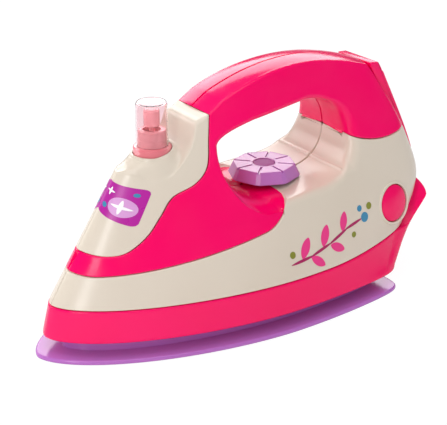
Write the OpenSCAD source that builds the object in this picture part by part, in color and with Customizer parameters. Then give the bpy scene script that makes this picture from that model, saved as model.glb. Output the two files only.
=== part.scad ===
// Toy steam iron with a sprayer in the nose, a click dial, side buttons and a battery spine.
// Origin: middle of the soleplate's underside. Nose toward -X, left side toward -Y, +Z up.

/* [Soleplate] */
// Length of the soleplate
sole_length = 190; // [184:1:196]
// Greatest width of the soleplate
sole_width = 97.4; // [96:0.1:102]
// Thickness of the soleplate
sole_thickness = 2.2; // [1.8:0.1:2.8]

/* [Body] */
// Height of the skirt's lower edge
skirt_bottom = 9.5; // [8.5:0.1:10.5]
// Height of the line between the skirt and the side panels
skirt_top = 25; // [24:0.5:26]
// Width of the body at the skirt's lower edge
body_width = 93; // [90:0.5:95]
// Distance from the origin forward to the skirt's tip
nose_reach = 91; // [89:0.5:92]
// Distance from the origin back to the skirt's rear edge
rear_reach = 97; // [95:0.5:98]
// Distance from the origin back to the widest point
widest_x = 24; // [20:0.5:28]
// Thickness of the moulded walls
wall = 2.2; // [1.8:0.1:2.4]
// Distance of the heel's upper edge below the top of the grip
heel_drop = 74.5; // [72.5:0.5:77.5]
// How far the heel stands out behind the side panels
heel_flare = 7; // [5:0.5:8]

/* [Handle] */
// Height of the top of the grip
handle_top = 124.5; // [122:0.5:128]
// Depth of the grip from top to finger side
grip_depth = 18.9; // [17:0.1:20]
// Height of the floor under the dial
well_floor = 61.5; // [60:0.5:62]
// Front end of the hand opening, measured forward from the origin
opening_front = 4.5; // [3:0.5:6]
// Length of the hand opening
opening_length = 76.5; // [75:0.5:78]

/* [Dial] */
// Width of the dial across its foot
dial_foot = 37.6; // [34:0.1:37.8]
// Width of the dial across its top
dial_face = 32.6; // [28:0.1:33]
// Height of the dial
dial_height = 6; // [5:0.1:7]
// Diameter of the dial's shaft
dial_shaft = 9; // [7:0.5:11]

/* [Sprayer] */
// Distance of the sprayer's axis from the origin
spray_reach = 29.5; // [29:0.1:30]
// Outside diameter of the clear cap
cap_diameter = 15.3; // [14.6:0.1:15.6]
// Length of the clear cap
cap_length = 21; // [20:0.5:22]
// Height of the cap's lower rim
cap_rest = 93.7; // [93.4:0.1:94]
// Travel of the spray head
head_travel = 3.5; // [2:0.1:4]

/* [Buttons] */
// Diameter of the side buttons
button_diameter = 19.5; // [16:0.5:20]
// Distance of the buttons ahead of the skirt's rear edge
button_setback = 1.5; // [0:0.5:4]
// Height of the buttons
button_z = 45.5; // [44:0.5:47]

/* [Battery bay] */
// Diameter of one cell
cell_diameter = 10.5; // [10:0.1:10.5]
// Length of one cell
cell_length = 44.5; // [42:0.5:44.5]
// Width of the battery door
door_width = 26; // [25.6:0.1:27]
// How far the door stands out from the handle's back
door_height = 5.4; // [4.8:0.1:6]

/* [Hidden] */
$fn = 48;

// Colours of the mouldings
pink = "#ef1f72";
cream = "#efeae2";
lilac = "#b07ac8";

// Small fits: half the parting gap, the groove between mouldings, a sliding gap, an overrun for cuts
parting = 0.1;
groove = 0.4;
slide_gap = 0.3;
over = 1;

// Slopes of the body: run over rise
skirt_lean_share = 0.26;
nose_lean_share = 0.63;
skirt_draft_share = 0.16;
side_draft_share = 0.326;
heel_lean_share = 0.8;
back_lean_share = 0.635;

// Shape of a level's plan: roundness of the nose, taper and squareness of the rear, by height share
nose_power = 1.75;
nose_root_share = 0.6;
rear_power = 14;
taper_shares = [[0.076, 0.14], [0.2, 0.3], [0.35, 0.235], [0.48, 0.2], [0.64, 0.13], [0.95, 0.1]];
squareness_shares = [[0.076, 14], [0.2, 6], [0.48, 5], [0.95, 6]];

// Rear line: crown at the top of the back, rounded where heel and back meet
crown_rear = 85.9;
back_round = 18;

function mix(a, b, t) = a + (b - a) * t;
function clamp01(t) = min(1, max(0, t));
function soft_min(a, b, round) = (a + b - sqrt(pow(a - b, 2) + pow(round, 2))) / 2;
function bend(a, b, c, t) = mix(mix(a, b, t), mix(b, c, t), t);

// Nose, half width and rear of the body at a height
waist_nose = -nose_reach + (skirt_top - skirt_bottom) * skirt_lean_share;
waist_half = body_width / 2 - (skirt_top - skirt_bottom) * skirt_draft_share;
function nose_x(z) = z < skirt_top
    ? -nose_reach + (z - skirt_bottom) * skirt_lean_share
    : waist_nose + (z - skirt_top) * nose_lean_share;
function half_at(z) = z < skirt_top
    ? body_width / 2 - (z - skirt_bottom) * skirt_draft_share
    : waist_half - (z - skirt_top) * side_draft_share;
function rear_x(z) = soft_min(
    rear_reach + (z - skirt_bottom) * heel_lean_share,
    crown_rear + (handle_top - z) * back_lean_share,
    back_round
);

// Plan of a level: share of the half width at a share of the way to the nose or to the rear
function nose_plan(t) = pow(1 - pow(1 - clamp01(t), nose_power), nose_root_share);
function rear_plan(t, z) = let (
    e = clamp01(t),
    taper_share = lookup(z / handle_top, taper_shares),
    squareness = lookup(z / handle_top, squareness_shares)
) (1 - taper_share * e * e) * pow(1 - pow(e, rear_power), 1 / squareness);

// A surface point by its station: 0 at the nose, 1 at the widest line, 2 at the rear; set in by a depth
function level_x(a, z, depth = 0) = a < 1
    ? mix(nose_x(z) + depth, widest_x, a)
    : mix(widest_x, rear_x(z) - depth, a - 1);
function level_half(a, z, depth = 0) =
    max(parting, (half_at(z) - depth) * (a < 1 ? nose_plan(a) : rear_plan(a - 1, z)));
function station(x, z) = x < widest_x
    ? (x - nose_x(z)) / (widest_x - nose_x(z))
    : 1 + (x - widest_x) / (rear_x(z) - widest_x);
function half_width(x, z) = level_half(station(x, z), z);

// Stations crowd together at the nose and at the rear corner
function nose_station(t) = t * t;
function rear_station(t) = 2 - pow(1 - t, 3);
nose_stations = [for (i = [0:16]) nose_station(i / 16)];
rear_stations = [for (i = [1:22]) rear_station(i / 22)];
body_stations = concat(nose_stations, rear_stations);

// A wall between two grids of points, closed along its edges. A looped wall joins its last row to its first;
// a folded wall joins the two halves of its first row to each other
module thick_sheet(outer, inner, looped = false, folded = false) {
    rows = len(outer);
    columns = len(outer[0]);
    inner_start = rows * columns;
    strips = looped ? rows : rows - 1;
    points = concat([for (row = outer) each row], [for (row = inner) each row]);
    function at(i, j) = folded && i == 0 && j > (columns - 1) / 2
        ? columns - 1 - j
        : (i % rows) * columns + j;
    function quad(a, b, c, d) = [[a, b, c], [a, c, d]];
    faces = concat(
        [for (i = [0:strips - 1], j = [0:columns - 2])
            each quad(at(i, j), at(i, j + 1), at(i + 1, j + 1), at(i + 1, j))],
        [for (i = [0:strips - 1], j = [0:columns - 2])
            each quad(
                inner_start + at(i, j), inner_start + at(i + 1, j),
                inner_start + at(i + 1, j + 1), inner_start + at(i, j + 1)
            )],
        [for (i = [0:strips - 1])
            each quad(at(i, 0), at(i + 1, 0), inner_start + at(i + 1, 0), inner_start + at(i, 0))],
        [for (i = [0:strips - 1], e = [columns - 1])
            each quad(at(i, e), inner_start + at(i, e), inner_start + at(i + 1, e), at(i + 1, e))],
        looped || folded ? [] : [for (j = [0:columns - 2])
            each quad(at(0, j), inner_start + at(0, j), inner_start + at(0, j + 1), at(0, j + 1))],
        looped ? [] : [for (j = [0:columns - 2], i = [rows - 1])
            each quad(at(i, j), at(i, j + 1), inner_start + at(i, j + 1), inner_start + at(i, j))]
    );
    polyhedron(points, faces, convexity = 8);
}

// Plan outline of a level as a polygon, set in by a depth
outline_stations = concat(
    [for (i = [0:20]) nose_station(i / 20)],
    [for (i = [1:16]) rear_station(i / 16)]
);
function outline_side(z, depth) =
    [for (a = outline_stations) [level_x(a, z, depth), level_half(a, z, depth)]];
function both_sides(side) = concat(
    [for (p = side) [p[0], -p[1]]],
    [for (i = [len(side) - 1:-1:0]) side[i]]
);

// Soleplate: the same plan stretched to its own length and width
sole_taper_share = 0.14;
sole_squareness = 20;
sole_rim = 0.8;
sole_screw_x_shares = [-0.22, 0.3];
sole_screw_y = 18;
screw_head = 5.6;
screw_shank = 2.6;
screw_head_depth = 1.4;
screw_clearance = 0.2;
screw_reach = 9;
function sole_half(a) = a < 1
    ? nose_plan(a)
    : (1 - sole_taper_share * pow(a - 1, 2)) * pow(1 - pow(a - 1, rear_power), 1 / sole_squareness);
function sole_side(depth) = [for (a = outline_stations) [
    a < 1
        ? mix(depth - sole_length / 2, widest_x, a)
        : mix(widest_x, sole_length / 2 - depth, a - 1),
    max(parting, (sole_width / 2 - depth) * sole_half(a))
]];
module at_sole_screws() {
    for (share = sole_screw_x_shares, side = [-1, 1])
        translate([share * sole_length, side * sole_screw_y, 0]) children();
}
module soleplate() {
    color(lilac) difference() {
        union() {
            linear_extrude(sole_thickness - sole_rim) polygon(both_sides(sole_side(0)));
            translate([0, 0, sole_thickness - sole_rim])
                linear_extrude(sole_rim) polygon(both_sides(sole_side(sole_rim)));
        }
        at_sole_screws() {
            translate([0, 0, -over])
                cylinder(d = screw_head + 2 * screw_clearance, h = screw_head_depth + over);
            cylinder(d = screw_shank + 2 * screw_clearance, h = sole_thickness + over);
        }
    }
}
module sole_screws() {
    color("silver") at_sole_screws() {
        translate([0, 0, screw_clearance])
            cylinder(d = screw_head, h = screw_head_depth - screw_clearance);
        translate([0, 0, screw_clearance]) cylinder(d = screw_shank, h = screw_reach);
    }
}

// Base plate: floor of the body on a recessed plinth that stands on the soleplate
base_gap = 0.3;
base_floor = 2;
plinth_inset = 11;
plinth_wall = 2;
boss_diameter = 8;
board_slot_depth = 6;
board_slot_wall = 1.8;
board_slot_length = 10;
module base_plate() {
    floor_z = skirt_bottom + base_gap;
    plate_inset = wall + base_gap;
    color(pink) difference() {
        union() {
            translate([0, 0, floor_z]) linear_extrude(base_floor) intersection() {
                polygon(both_sides(outline_side(skirt_bottom, plate_inset)));
                polygon(both_sides(outline_side(inner_floor, plate_inset)));
            }
            translate([0, 0, sole_thickness]) linear_extrude(floor_z - sole_thickness) difference() {
                polygon(both_sides(outline_side(skirt_bottom, plinth_inset)));
                polygon(both_sides(outline_side(skirt_bottom, plinth_inset + plinth_wall)));
            }
            at_sole_screws() translate([0, 0, sole_thickness])
                cylinder(d = boss_diameter, h = floor_z + base_floor - sole_thickness);
            for (side = [-1, 1]) board_slot(side, floor_z + base_floor);
            translate([speaker_x, 0, floor_z + base_floor]) difference() {
                cylinder(d = speaker_diameter + 2 * (plinth_wall + slide_gap), h = speaker_height);
                translate([0, 0, -over])
                    cylinder(d = speaker_diameter + 2 * slide_gap, h = speaker_height + 2 * over);
            }
        }
        at_sole_screws()
            cylinder(d = screw_shank, h = screw_clearance + screw_reach);
    }
}
module board_slot(side, floor_z) {
    translate([board_x, side * (board_width / 2 - board_slot_length), floor_z]) {
        for (face = [-1, 1])
            translate([
                face > 0 ? board_thickness / 2 + parting : -board_thickness / 2 - parting - board_slot_wall,
                -board_slot_length / 2,
                0
            ]) cube([board_slot_wall, board_slot_length, board_slot_depth]);
    }
}

// Skirt: lower band that sweeps up behind into the flared heel, with a tongue up the middle of the back
lip_round = 1.6;
lip_turn_share = 0.3;
heel_start_share = 0.25;
heel_side_rise = 5;
heel_turn_share = 0.915;
heel_turn_length_share = 0.068;
heel_low = 12;
heel_crest = 7;
heel_top = handle_top - heel_drop;
heel_peak = heel_top - heel_crest;
heel_top_share = 0.6;
heel_spread_share = 0.2;
heel_blend_share = 0.84;
heel_full_share = 0.97;
heel_fade = 3;
tongue_drop = 62;
tongue_top = handle_top - tongue_drop;
tongue_proud = 1.2;
tongue_share = 0.992;
tongue_turn_share = 0.0046;
function smooth(t) = let (e = clamp01(t)) e * e * (3 - 2 * e);
function heel_rise(a) = let (
    side_share = clamp01((a - 1 - heel_start_share) / (heel_turn_share - heel_start_share))
) heel_side_rise * side_share * side_share
    + (heel_top - skirt_top - heel_side_rise) * smooth((a - 1 - heel_turn_share) / heel_turn_length_share)
    + (tongue_top - heel_top) * smooth((a - 1 - tongue_share) / tongue_turn_share);
function skirt_edge(a) = skirt_top + (a < 1 ? 0 : heel_rise(a));
function heel_round(z) = 1 - (1 - heel_top_share) * pow(clamp01((z - heel_peak) / (heel_top - heel_peak)), 2);
function heel_out(z) = z < heel_top
    ? heel_flare * clamp01((z - heel_low) / (heel_peak - heel_low)) * heel_round(z)
    : mix(tongue_proud, heel_flare * heel_top_share, pow(clamp01(1 - (z - heel_top) / heel_fade), 2));
function heel_weight(a) = smooth((a - 1 - heel_blend_share) / (heel_full_share - heel_blend_share));
function skirt_point(a, z, depth, side) = let (flare = depth < wall ? heel_out(z) * heel_weight(a) : 0) [
    level_x(a, z, depth) + flare,
    side * level_half(a, z, depth) * (1 + heel_spread_share * flare / heel_flare),
    z
];
function skirt_heights(a) = let (edge = skirt_edge(a), first = skirt_bottom + lip_round) concat(
    [[skirt_bottom, lip_round], [mix(skirt_bottom, first, lip_turn_share), lip_round * lip_turn_share]],
    [for (t = steps(0, 1, 6, 0)) [mix(first, edge, t), 0]]
);
function skirt_row(a, side) = [for (h = skirt_heights(a)) skirt_point(a, h[0], h[1], side)];
function skirt_inner_row(a, side) =
    [for (h = skirt_heights(a)) skirt_point(a, h[0], wall + (h[1] > 0 ? parting : 0), side)];
module skirt() {
    ring = body_stations;
    last = len(ring) - 1;
    outer = concat(
        [for (a = ring) skirt_row(a, -1)],
        [for (i = [last - 1:-1:0]) skirt_row(ring[i], 1)]
    );
    inner = concat(
        [for (a = ring) skirt_inner_row(a, -1)],
        [for (i = [last - 1:-1:0]) skirt_inner_row(ring[i], 1)]
    );
    color(pink) thick_sheet(outer, inner, looped = true);
}

// Lines on the body's side, each a list of [x, z]
saddle_low = 39.6;
saddle_rise = 13.5;
saddle_power = 1.5;
saddle_dip = 1.4;
saddle_dip_share = 0.1;
lobe_rise = 8;
lobe_start_share = 0.88;
lobe_length_share = 0.15;
lobe_end = 1.03;
function saddle_z(a) = let (
    t = clamp01((a - lobe_start_share) / lobe_length_share),
    tip = clamp01(1 - a / saddle_dip_share)
) saddle_low + saddle_rise * pow(min(a, 1), saddle_power) + saddle_dip * tip * tip + lobe_rise * t * t;

// Floor of the hand opening, its ramp up to the rear column and the line across the rear column
floor_start = 27;
floor_slope_share = 0.096;
ceiling = handle_top - grip_depth;
column_foot_share = 23 / 44.1;
column_sag_share = 15 / 44.1;
column_tip_share = 19 / 44.1;
column_foot = mix(well_floor, ceiling, column_foot_share);
column_sag = mix(well_floor, ceiling, column_sag_share);
column_tip = mix(well_floor, ceiling, column_tip_share);
function opening_x(share) = share * opening_length - opening_front;
function floor_z(x) = well_floor + max(0, x - opening_x(0) - floor_start) * floor_slope_share;
ramp_start_share = 0.712;
ramp_turn_share = 0.99;
ramp_lift_share = 0.085;
sag_share = 0.42;
lobe_x = mix(widest_x, rear_x(well_floor), lobe_end - 1);
ramp_start = [opening_x(ramp_start_share), floor_z(opening_x(ramp_start_share))];
ramp_turn = [opening_x(ramp_turn_share), mix(ramp_start[1], column_foot, ramp_lift_share)];
ramp_end = [opening_x(1), column_foot];
back_tip = [rear_x(column_tip), column_tip];
sag_point = [mix(ramp_end[0], back_tip[0], sag_share), column_sag];
function ramp(t) = bend(ramp_start, ramp_turn, ramp_end, t);
function sag_line(t) = bend(ramp_end, sag_point, back_tip, t);

// Front and top of the hand opening
corner_length = 27;
corner_height_share = 31 / 44.1;
corner_height = (ceiling - well_floor) * corner_height_share;
ceiling_start_shares = [0.281, 0.907];
ceiling_end_share = 0.686;
front_turn_shares = [0.02, 0.816];
rear_turn_share = 0.974;
wall_top_shares = [0.999, 0.07];
function opening_place(shares, low) = [opening_x(shares[0]), mix(low, ceiling, shares[1])];
ceiling_start = opening_place(ceiling_start_shares, well_floor);
ceiling_end = [opening_x(ceiling_end_share), ceiling];
front_turn = opening_place(front_turn_shares, well_floor);
rear_turn = [opening_x(rear_turn_share), ceiling];
wall_top = opening_place(wall_top_shares, column_foot);
front_top = [opening_x(0), well_floor + corner_height];
function front_corner(t) = [
    opening_x(0) + corner_length * (1 - sin(90 * (1 - t))),
    well_floor + corner_height * (1 - cos(90 * (1 - t)))
];
function front_ceiling(t) = bend(front_top, front_turn, ceiling_start, t);
function rear_ceiling(t) = bend(ceiling_end, rear_turn, wall_top, t);

// Cream nose: lower edge and the scooped top, as shares of the nose cover's length and height
nose_cover_back = 6.5;
nose_cover_front = 71;
nose_cover_low = 48.7;
nose_cover_drop = 16.7;
nose_cover_top = handle_top - nose_cover_drop;
nose_edge_shares = [
    [0.108, 0], [0.248, 0.027], [0.403, 0.149], [0.543, 0.323], [0.682, 0.435],
    [0.814, 0.509], [0.915, 0.635], [0.964, 0.826], [1, 1]
];
scoop_shares = [
    [0.43, 0.596], [0.52, 0.59], [0.6, 0.601], [0.68, 0.631], [0.76, 0.69],
    [0.82, 0.764], [0.86, 0.845], [0.895, 0.94], [0.95, 0.972], [1, 1]
];
function nose_place(share) = [
    mix(-nose_cover_front, -nose_cover_back, share[0]),
    mix(nose_cover_low, nose_cover_top, share[1])
];
function on_tip(z) = [nose_x(z), z];
nose_tip_low = 50;
scoop_front_share = 36.7 / 59.1;
scoop_front = mix(nose_cover_low, nose_cover_top, scoop_front_share);
nose_edge_knots = concat([on_tip(nose_tip_low)], [for (s = nose_edge_shares) nose_place(s)]);
scoop_knots = concat([on_tip(scoop_front)], [for (s = scoop_shares) nose_place(s)]);
function knot(knots, i) = knots[min(len(knots) - 1, max(0, i))];
function spline(knots, u) = let (
    i = min(len(knots) - 2, floor(u)),
    t = u - i,
    a = knot(knots, i - 1),
    b = knot(knots, i),
    c = knot(knots, i + 1),
    d = knot(knots, i + 2)
) b + (c - a) * t / 2 + (2 * a - 5 * b + 4 * c - d) * t * t / 2 + (3 * b - a - 3 * c + d) * t * t * t / 2;

// Top of the grip: wedge behind the nose cover, then one bow to the back
crown = 1.2;
wedge_x = 1.2;
wedge_drop = 10.3;
bow_x = 45;
bow_rise = 8.7;
bow_drop = 7.5;
bow_share = 0.55;
wedge_top = [wedge_x, handle_top - wedge_drop - crown];
bow_turn = [bow_x, handle_top + bow_rise - crown];
bow_end = [rear_x(handle_top - bow_drop) + parting, handle_top - bow_drop - crown];
function bow(t) = bend(wedge_top, bow_turn, bow_end, t);
function back_line(z) = [rear_x(z), z];

// Side panels: each row is a station with its upper edge and whether a floor closes it
lip = 4;
edge_round = 1.2;
sag_end_share = 0.9;
ramp_wall_share = 0.8;
inner_inset_share = 0.04;
sag_end = sag_line(sag_end_share);
function steps(from, to, count, first = 1) = [for (i = [first:count]) mix(from, to, i / count)];
panel_rows = concat(
    [for (a = nose_stations) if (a < lobe_start_share) [a, saddle_z(a) - groove, false]],
    [for (a = steps(lobe_start_share, lobe_end, 5)) [a, saddle_z(a) - groove, false]],
    [for (x = steps(lobe_x + groove, ramp_start[0], 4, 0)) [station(x, floor_z(x)), floor_z(x), true]],
    [for (t = steps(0, 1, 8)) [station(ramp(t)[0], ramp(t)[1]), ramp(t)[1] - (t == 1 ? groove : 0), true]],
    [for (t = steps(0, sag_end_share, 6))
        [station(sag_line(t)[0], sag_line(t)[1]), sag_line(t)[1] - groove, false]],
    [for (i = [13:20]) if (rear_station(i / 20) > station(sag_end[0], sag_end[1]))
        [rear_station(i / 20), column_tip - groove, false]]
);
function shell_point(a, z, depth) = [level_x(a, z, depth), -level_half(a, z, depth), z];
side_steps = [0, 0.25, 0.5, 0.75, 1];
edge_steps = [0, 0.5, 1];
edge_steps_back = [1, 0.5, 0];
function panel_outer(row) = let (a = row[0], top = row[1], low = skirt_edge(a) + groove) concat(
    [for (t = side_steps) shell_point(a, mix(low, top - edge_round, t), 0)],
    row[2]
        ? let (x = level_x(a, top), w = level_half(a, top) - edge_round)
            [for (t = edge_steps) [x, -mix(w, parting, t), top]]
        : [for (t = edge_steps) shell_point(a, top, mix(edge_round, lip, t))]
);
function panel_inner(row) = let (a = row[0], top = row[1], low = skirt_edge(a) + groove) concat(
    [for (t = side_steps) shell_point(a, mix(low, top - wall, t * (1 - inner_inset_share)), wall)],
    row[2]
        ? let (x = level_x(a, top) + row_slope(row) * wall, w = level_half(a, top - wall, wall))
            [for (t = edge_steps) [x, -mix(w, parting, t), top - wall * (1 - row_slope(row))]]
        : [for (t = edge_steps) shell_point(a, top - wall, mix(wall, lip, t))]
);
function row_slope(row) = clamp01((row[1] - ramp_start[1]) / (column_foot - ramp_start[1])) * ramp_wall_share;
module panel_shell() {
    difference() {
        thick_sheet([for (row = panel_rows) panel_outer(row)], [for (row = panel_rows) panel_inner(row)]);
        button_bore();
        battery_slot();
        door_screw_bore();
        dial_bore();
    }
}
module side_panel_left() {
    color(cream) panel_shell();
}
module side_panel_right() {
    color(cream) mirror([0, 1, 0]) panel_shell();
}

// Handle halves: each row joins a lower and an upper line, with flags for the walls that close it
function unit(v) = v / norm(v);
function saddle_line(a) = let (z = saddle_z(a)) [level_x(a, z), z];
function nose_edge(u) = spline(nose_edge_knots, u);
function scoop(u) = spline(scoop_knots, u);
band_knot = 2;
waist_knot = 3;
lobe_knot = 4;
wedge_knot = 8;
edge_last = len(nose_edge_knots) - 1;
lobe_step_share = 0.1;
corner_step_share = 0.2;
back_first_share = 0.1;
back_next_share = 0.12;
sag_first_share = 0.04;
band_share = 0.36;
waist_share = 0.72;
wedge_share = 0.4;
wedge_step_share = 0.05;
corner_crowd = 2.2;
grip_turn = 9;
function crowded(t, crowd) = 1 - pow(1 - t, crowd);
saddle_rows = concat(
    [for (t = steps(0, 1, 8, 0)) [saddle_line(band_share * t * t), nose_edge(band_knot * t * t)]],
    [for (t = steps(0, 1, 5)) [saddle_line(mix(band_share, waist_share, t)), nose_edge(band_knot + t)]],
    [for (t = steps(0, 1, 7)) [saddle_line(mix(waist_share, lobe_end, t)), nose_edge(waist_knot + t)]]
);
column_rows = concat(
    [[[lobe_x, floor_z(lobe_x)], nose_edge(lobe_knot + lobe_step_share)]],
    [for (t = steps(0, 1, 10, 0))
        [front_corner(1 - t), nose_edge(mix(lobe_knot + corner_step_share, wedge_knot, t))]],
    [for (t = steps(0, wedge_share, 3)) [front_ceiling(t), nose_edge(wedge_knot + t / wedge_share)]]
);
grip_rows = concat(
    [for (t = steps(0, 1, 5, 0)) [
        front_ceiling(mix(wedge_share, 1, mix(wedge_step_share, 1, t))),
        mix(nose_edge(edge_last), wedge_top, t)
    ]],
    [for (t = steps(0, 1, 5)) [mix(ceiling_start, ceiling_end, t), bow(bow_share * t)]],
    [for (t = steps(0, 1, 8)) [rear_ceiling(t), bow(mix(bow_share, 1, t))]]
);
back_rows = concat(
    [[ramp_end + [0, groove], back_line(mix(bow_end[1], back_tip[1], back_first_share))]],
    [for (t = steps(sag_first_share, 1, 8, 0)) [
        sag_line(t),
        back_line(mix(bow_end[1], column_tip + lip, mix(back_next_share, 1, t)))
    ]]
);
function tagged(rows, closed_low, closed_top, gap, rise, crowd = 1) =
    [for (r = rows) [r[0], r[1], closed_low, closed_top, gap, rise, crowd]];
grip_last = len(grip_rows) - 1;
function grip_crowd(i) = mix(1, corner_crowd, clamp01((i - grip_turn) / (grip_last - grip_turn)));
handle_rows = concat(
    tagged(saddle_rows, false, false, groove, 0),
    tagged(column_rows, true, false, groove, 0),
    [for (i = [0:grip_last]) each tagged([grip_rows[i]], true, true, 0, crown, grip_crowd(i))],
    tagged([back_rows[0]], true, true, 0, 0, corner_crowd),
    tagged([for (i = [1:len(back_rows) - 2]) back_rows[i]], false, true, 0, 0, corner_crowd),
    tagged([back_rows[len(back_rows) - 1]], false, false, 0, 0, corner_crowd)
);
function side_point(p, depth) = shell_point(station(p[0], p[1]), p[1], depth);
function half_of(p, depth = 0) = level_half(station(p[0], p[1]), p[1], depth);
function flat_point(p, y) = [p[0], -max(parting, y), p[1]];
function handle_outer(row) = let (
    low = row[0],
    d = unit(row[1] - low),
    top = row[1] - d * row[4],
    low_half = half_of(low + d * edge_round) - edge_round,
    top_half = half_of(top - d * edge_round) - edge_round
) concat(
    row[2]
        ? [for (t = edge_steps) flat_point(low, mix(parting, low_half, t))]
        : [for (t = edge_steps) side_point(low, mix(lip, edge_round, t))],
    [for (t = side_steps)
        side_point(mix(low + d * edge_round, top - d * edge_round, crowded(t, row[6])), 0)],
    row[3]
        ? [for (t = edge_steps_back) flat_point(top + d * row[5] * (1 - t * t), mix(parting, top_half, t))]
        : [for (t = edge_steps) side_point(top, mix(edge_round, lip, t))]
);
function handle_inner(row) = let (
    d = unit(row[1] - row[0]),
    low = row[0] + d * wall,
    top = row[1] - d * (row[4] + wall)
) concat(
    row[2]
        ? [for (t = edge_steps) flat_point(low, mix(parting, half_of(low, wall), t))]
        : [for (t = edge_steps) side_point(low, mix(lip, wall, t))],
    [for (t = side_steps)
        side_point(mix(low, top, mix(inner_inset_share, 1 - inner_inset_share, crowded(t, row[6]))), wall)],
    row[3]
        ? [for (t = edge_steps_back) flat_point(top, mix(parting, half_of(top, wall), t))]
        : [for (t = edge_steps) side_point(top, mix(wall, lip, t))]
);
module handle_shell() {
    difference() {
        thick_sheet([for (row = handle_rows) handle_outer(row)], [for (row = handle_rows) handle_inner(row)]);
        battery_slot();
    }
}
module handle_left() {
    color(pink) handle_shell();
}
module handle_right() {
    color(pink) mirror([0, 1, 0]) handle_shell();
}

// Nose cover: wraps the nose from side to side and carries the scooped seat of the sprayer
seat_tilt = 11;
seat_drop = 5.1;
seat_height = cap_rest - seat_drop;
seat_wall = 2.6;
ring_diameter = 18.4;
seat_diameter = ring_diameter + 2 * (slide_gap + seat_wall);
ring_height = 7.1;
ring_low = cap_rest - ring_height;
sleeve_low = 52;
cover_back_share = 39.9 / 59.1;
cover_back = mix(nose_cover_low, nose_cover_top, cover_back_share);
cover_crowd_share = 0.2;
cover_wall_share = 0.95;
cover_top_shares = [0.85, 0.45];
cover_under_shares = [0.9, 0.5];
cover_end_share = 0.985;
slope_step = 0.05;
scoop_last = len(scoop_knots) - 1;
sleeve_top = max(seat_height, cover_back);
function cover_crowd(t) = t < cover_crowd_share ? t * t / cover_crowd_share : t;
cover_rows = [for (t = steps(0, cover_end_share, 28, 0)) let (s = cover_crowd(t)) [
    nose_edge(edge_last * s),
    scoop(scoop_last * s),
    unit(scoop(scoop_last * s + slope_step) - scoop(max(0, scoop_last * s - slope_step))),
    t == 0 ? 0 : 1
]];
cover_steps = [0, 0.34, 0.67, 1];
function spread(points, factor) = [for (p = points) [p[0], p[1] * factor, p[2]]];
function mirrored(points) = concat(
    points,
    [for (i = [len(points) - 2:-1:0]) [points[i][0], -points[i][1], points[i][2]]]
);
function cover_outer(row) = let (
    d = unit(row[1] - row[0]),
    top = row[1] - d * edge_round,
    top_half = half_of(top)
) mirrored(spread(concat(
    [for (t = cover_steps) side_point(mix(row[0], top, t), 0)],
    [for (share = cover_top_shares) flat_point(row[1], top_half * share)],
    [[row[1][0], 0, row[1][1]]]
), row[3]));
function cover_inner(row) = let (
    back_share = clamp01((row[1][1] - cover_back) / (nose_cover_top - cover_back)),
    turned = unit([row[2][1] * (1 - back_share * back_share * back_share), -row[2][0] - parting]),
    top = row[1] + turned * wall
) mirrored(spread(concat(
    [for (t = cover_steps) side_point(mix(row[0], top, t * cover_wall_share), wall)],
    [for (share = cover_under_shares) flat_point(top, half_of(top, wall) * share)],
    [[top[0], 0, top[1]]]
), row[3]));
module at_spray() {
    translate([-spray_reach, 0, 0]) children();
}
module nose_cover() {
    color(cream) difference() {
        union() {
            thick_sheet(
                [for (row = cover_rows) cover_outer(row)],
                [for (row = cover_rows) cover_inner(row)],
                folded = true
            );
            at_spray() difference() {
                translate([0, 0, sleeve_low]) cylinder(d = seat_diameter, h = nose_cover_top - sleeve_low);
                translate([0, 0, sleeve_top]) rotate([0, -seat_tilt, 0])
                    translate([-ring_diameter, -ring_diameter, 0])
                        cube([2 * ring_diameter, 2 * ring_diameter, nose_cover_top - sleeve_low]);
            }
        }
        at_spray() {
            translate([0, 0, ring_low - slide_gap])
                cylinder(d = ring_diameter + 2 * slide_gap, h = nose_cover_top);
            translate([0, 0, sleeve_low - over])
                cylinder(d = bottle_diameter + 2 * slide_gap, h = nose_cover_top);
        }
    }
}

// Sprayer: a slim bottle that drops into the nose, with a press pump under a clear cap
bottle_diameter = 15.6;
bottle_low = 40;
bottle_wall = 1;
neck_diameter = 11.6;
neck_drop = 2.2;
neck_top = cap_rest - neck_drop;
pump_diameter = 8;
pump_length = 21.7;
pump_low = cap_rest - pump_length;
pump_wall = 0.9;
tube_diameter = 2.6;
tube_bore = 1.4;
tube_clearance = 10;
tube_low = bottle_low + tube_clearance;
collar_diameter = 13;
collar_height = 5.7;
collar_top = cap_rest + collar_height;
head_diameter = 7.4;
head_gap = 0.7;
head_height = 5.4;
head_low = collar_top + head_travel + head_gap;
head_top = head_low + head_height;
stem_diameter = 3;
stem_drop = 8.7;
stem_low = cap_rest - stem_drop;
nozzle_diameter = 1.2;
nozzle_share = 0.6;
cap_wall = 0.9;
spring_wire = 0.6;
spring_turns = 5;
module tube(outer, bore, low, high) {
    translate([0, 0, low]) difference() {
        cylinder(d = outer, h = high - low);
        translate([0, 0, -over]) cylinder(d = bore, h = high - low + 2 * over);
    }
}
module bottle() {
    shoulder = ring_low - neck_diameter / 4;
    color("#f4eef2", 0.6) at_spray() rotate_extrude() polygon([
        [0, bottle_low],
        [bottle_diameter / 2 - bottle_wall, bottle_low],
        [bottle_diameter / 2, bottle_low + bottle_wall],
        [bottle_diameter / 2, shoulder],
        [neck_diameter / 2, ring_low],
        [neck_diameter / 2, neck_top],
        [pump_diameter / 2 + slide_gap, neck_top],
        [pump_diameter / 2 + slide_gap, ring_low - bottle_wall],
        [bottle_diameter / 2 - bottle_wall, shoulder - bottle_wall],
        [bottle_diameter / 2 - bottle_wall, bottle_low + bottle_wall],
        [0, bottle_low + bottle_wall]
    ]);
}
module neck_ring() {
    color(pink) at_spray() tube(ring_diameter, neck_diameter + 2 * parting, ring_low, cap_rest - slide_gap);
}
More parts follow.
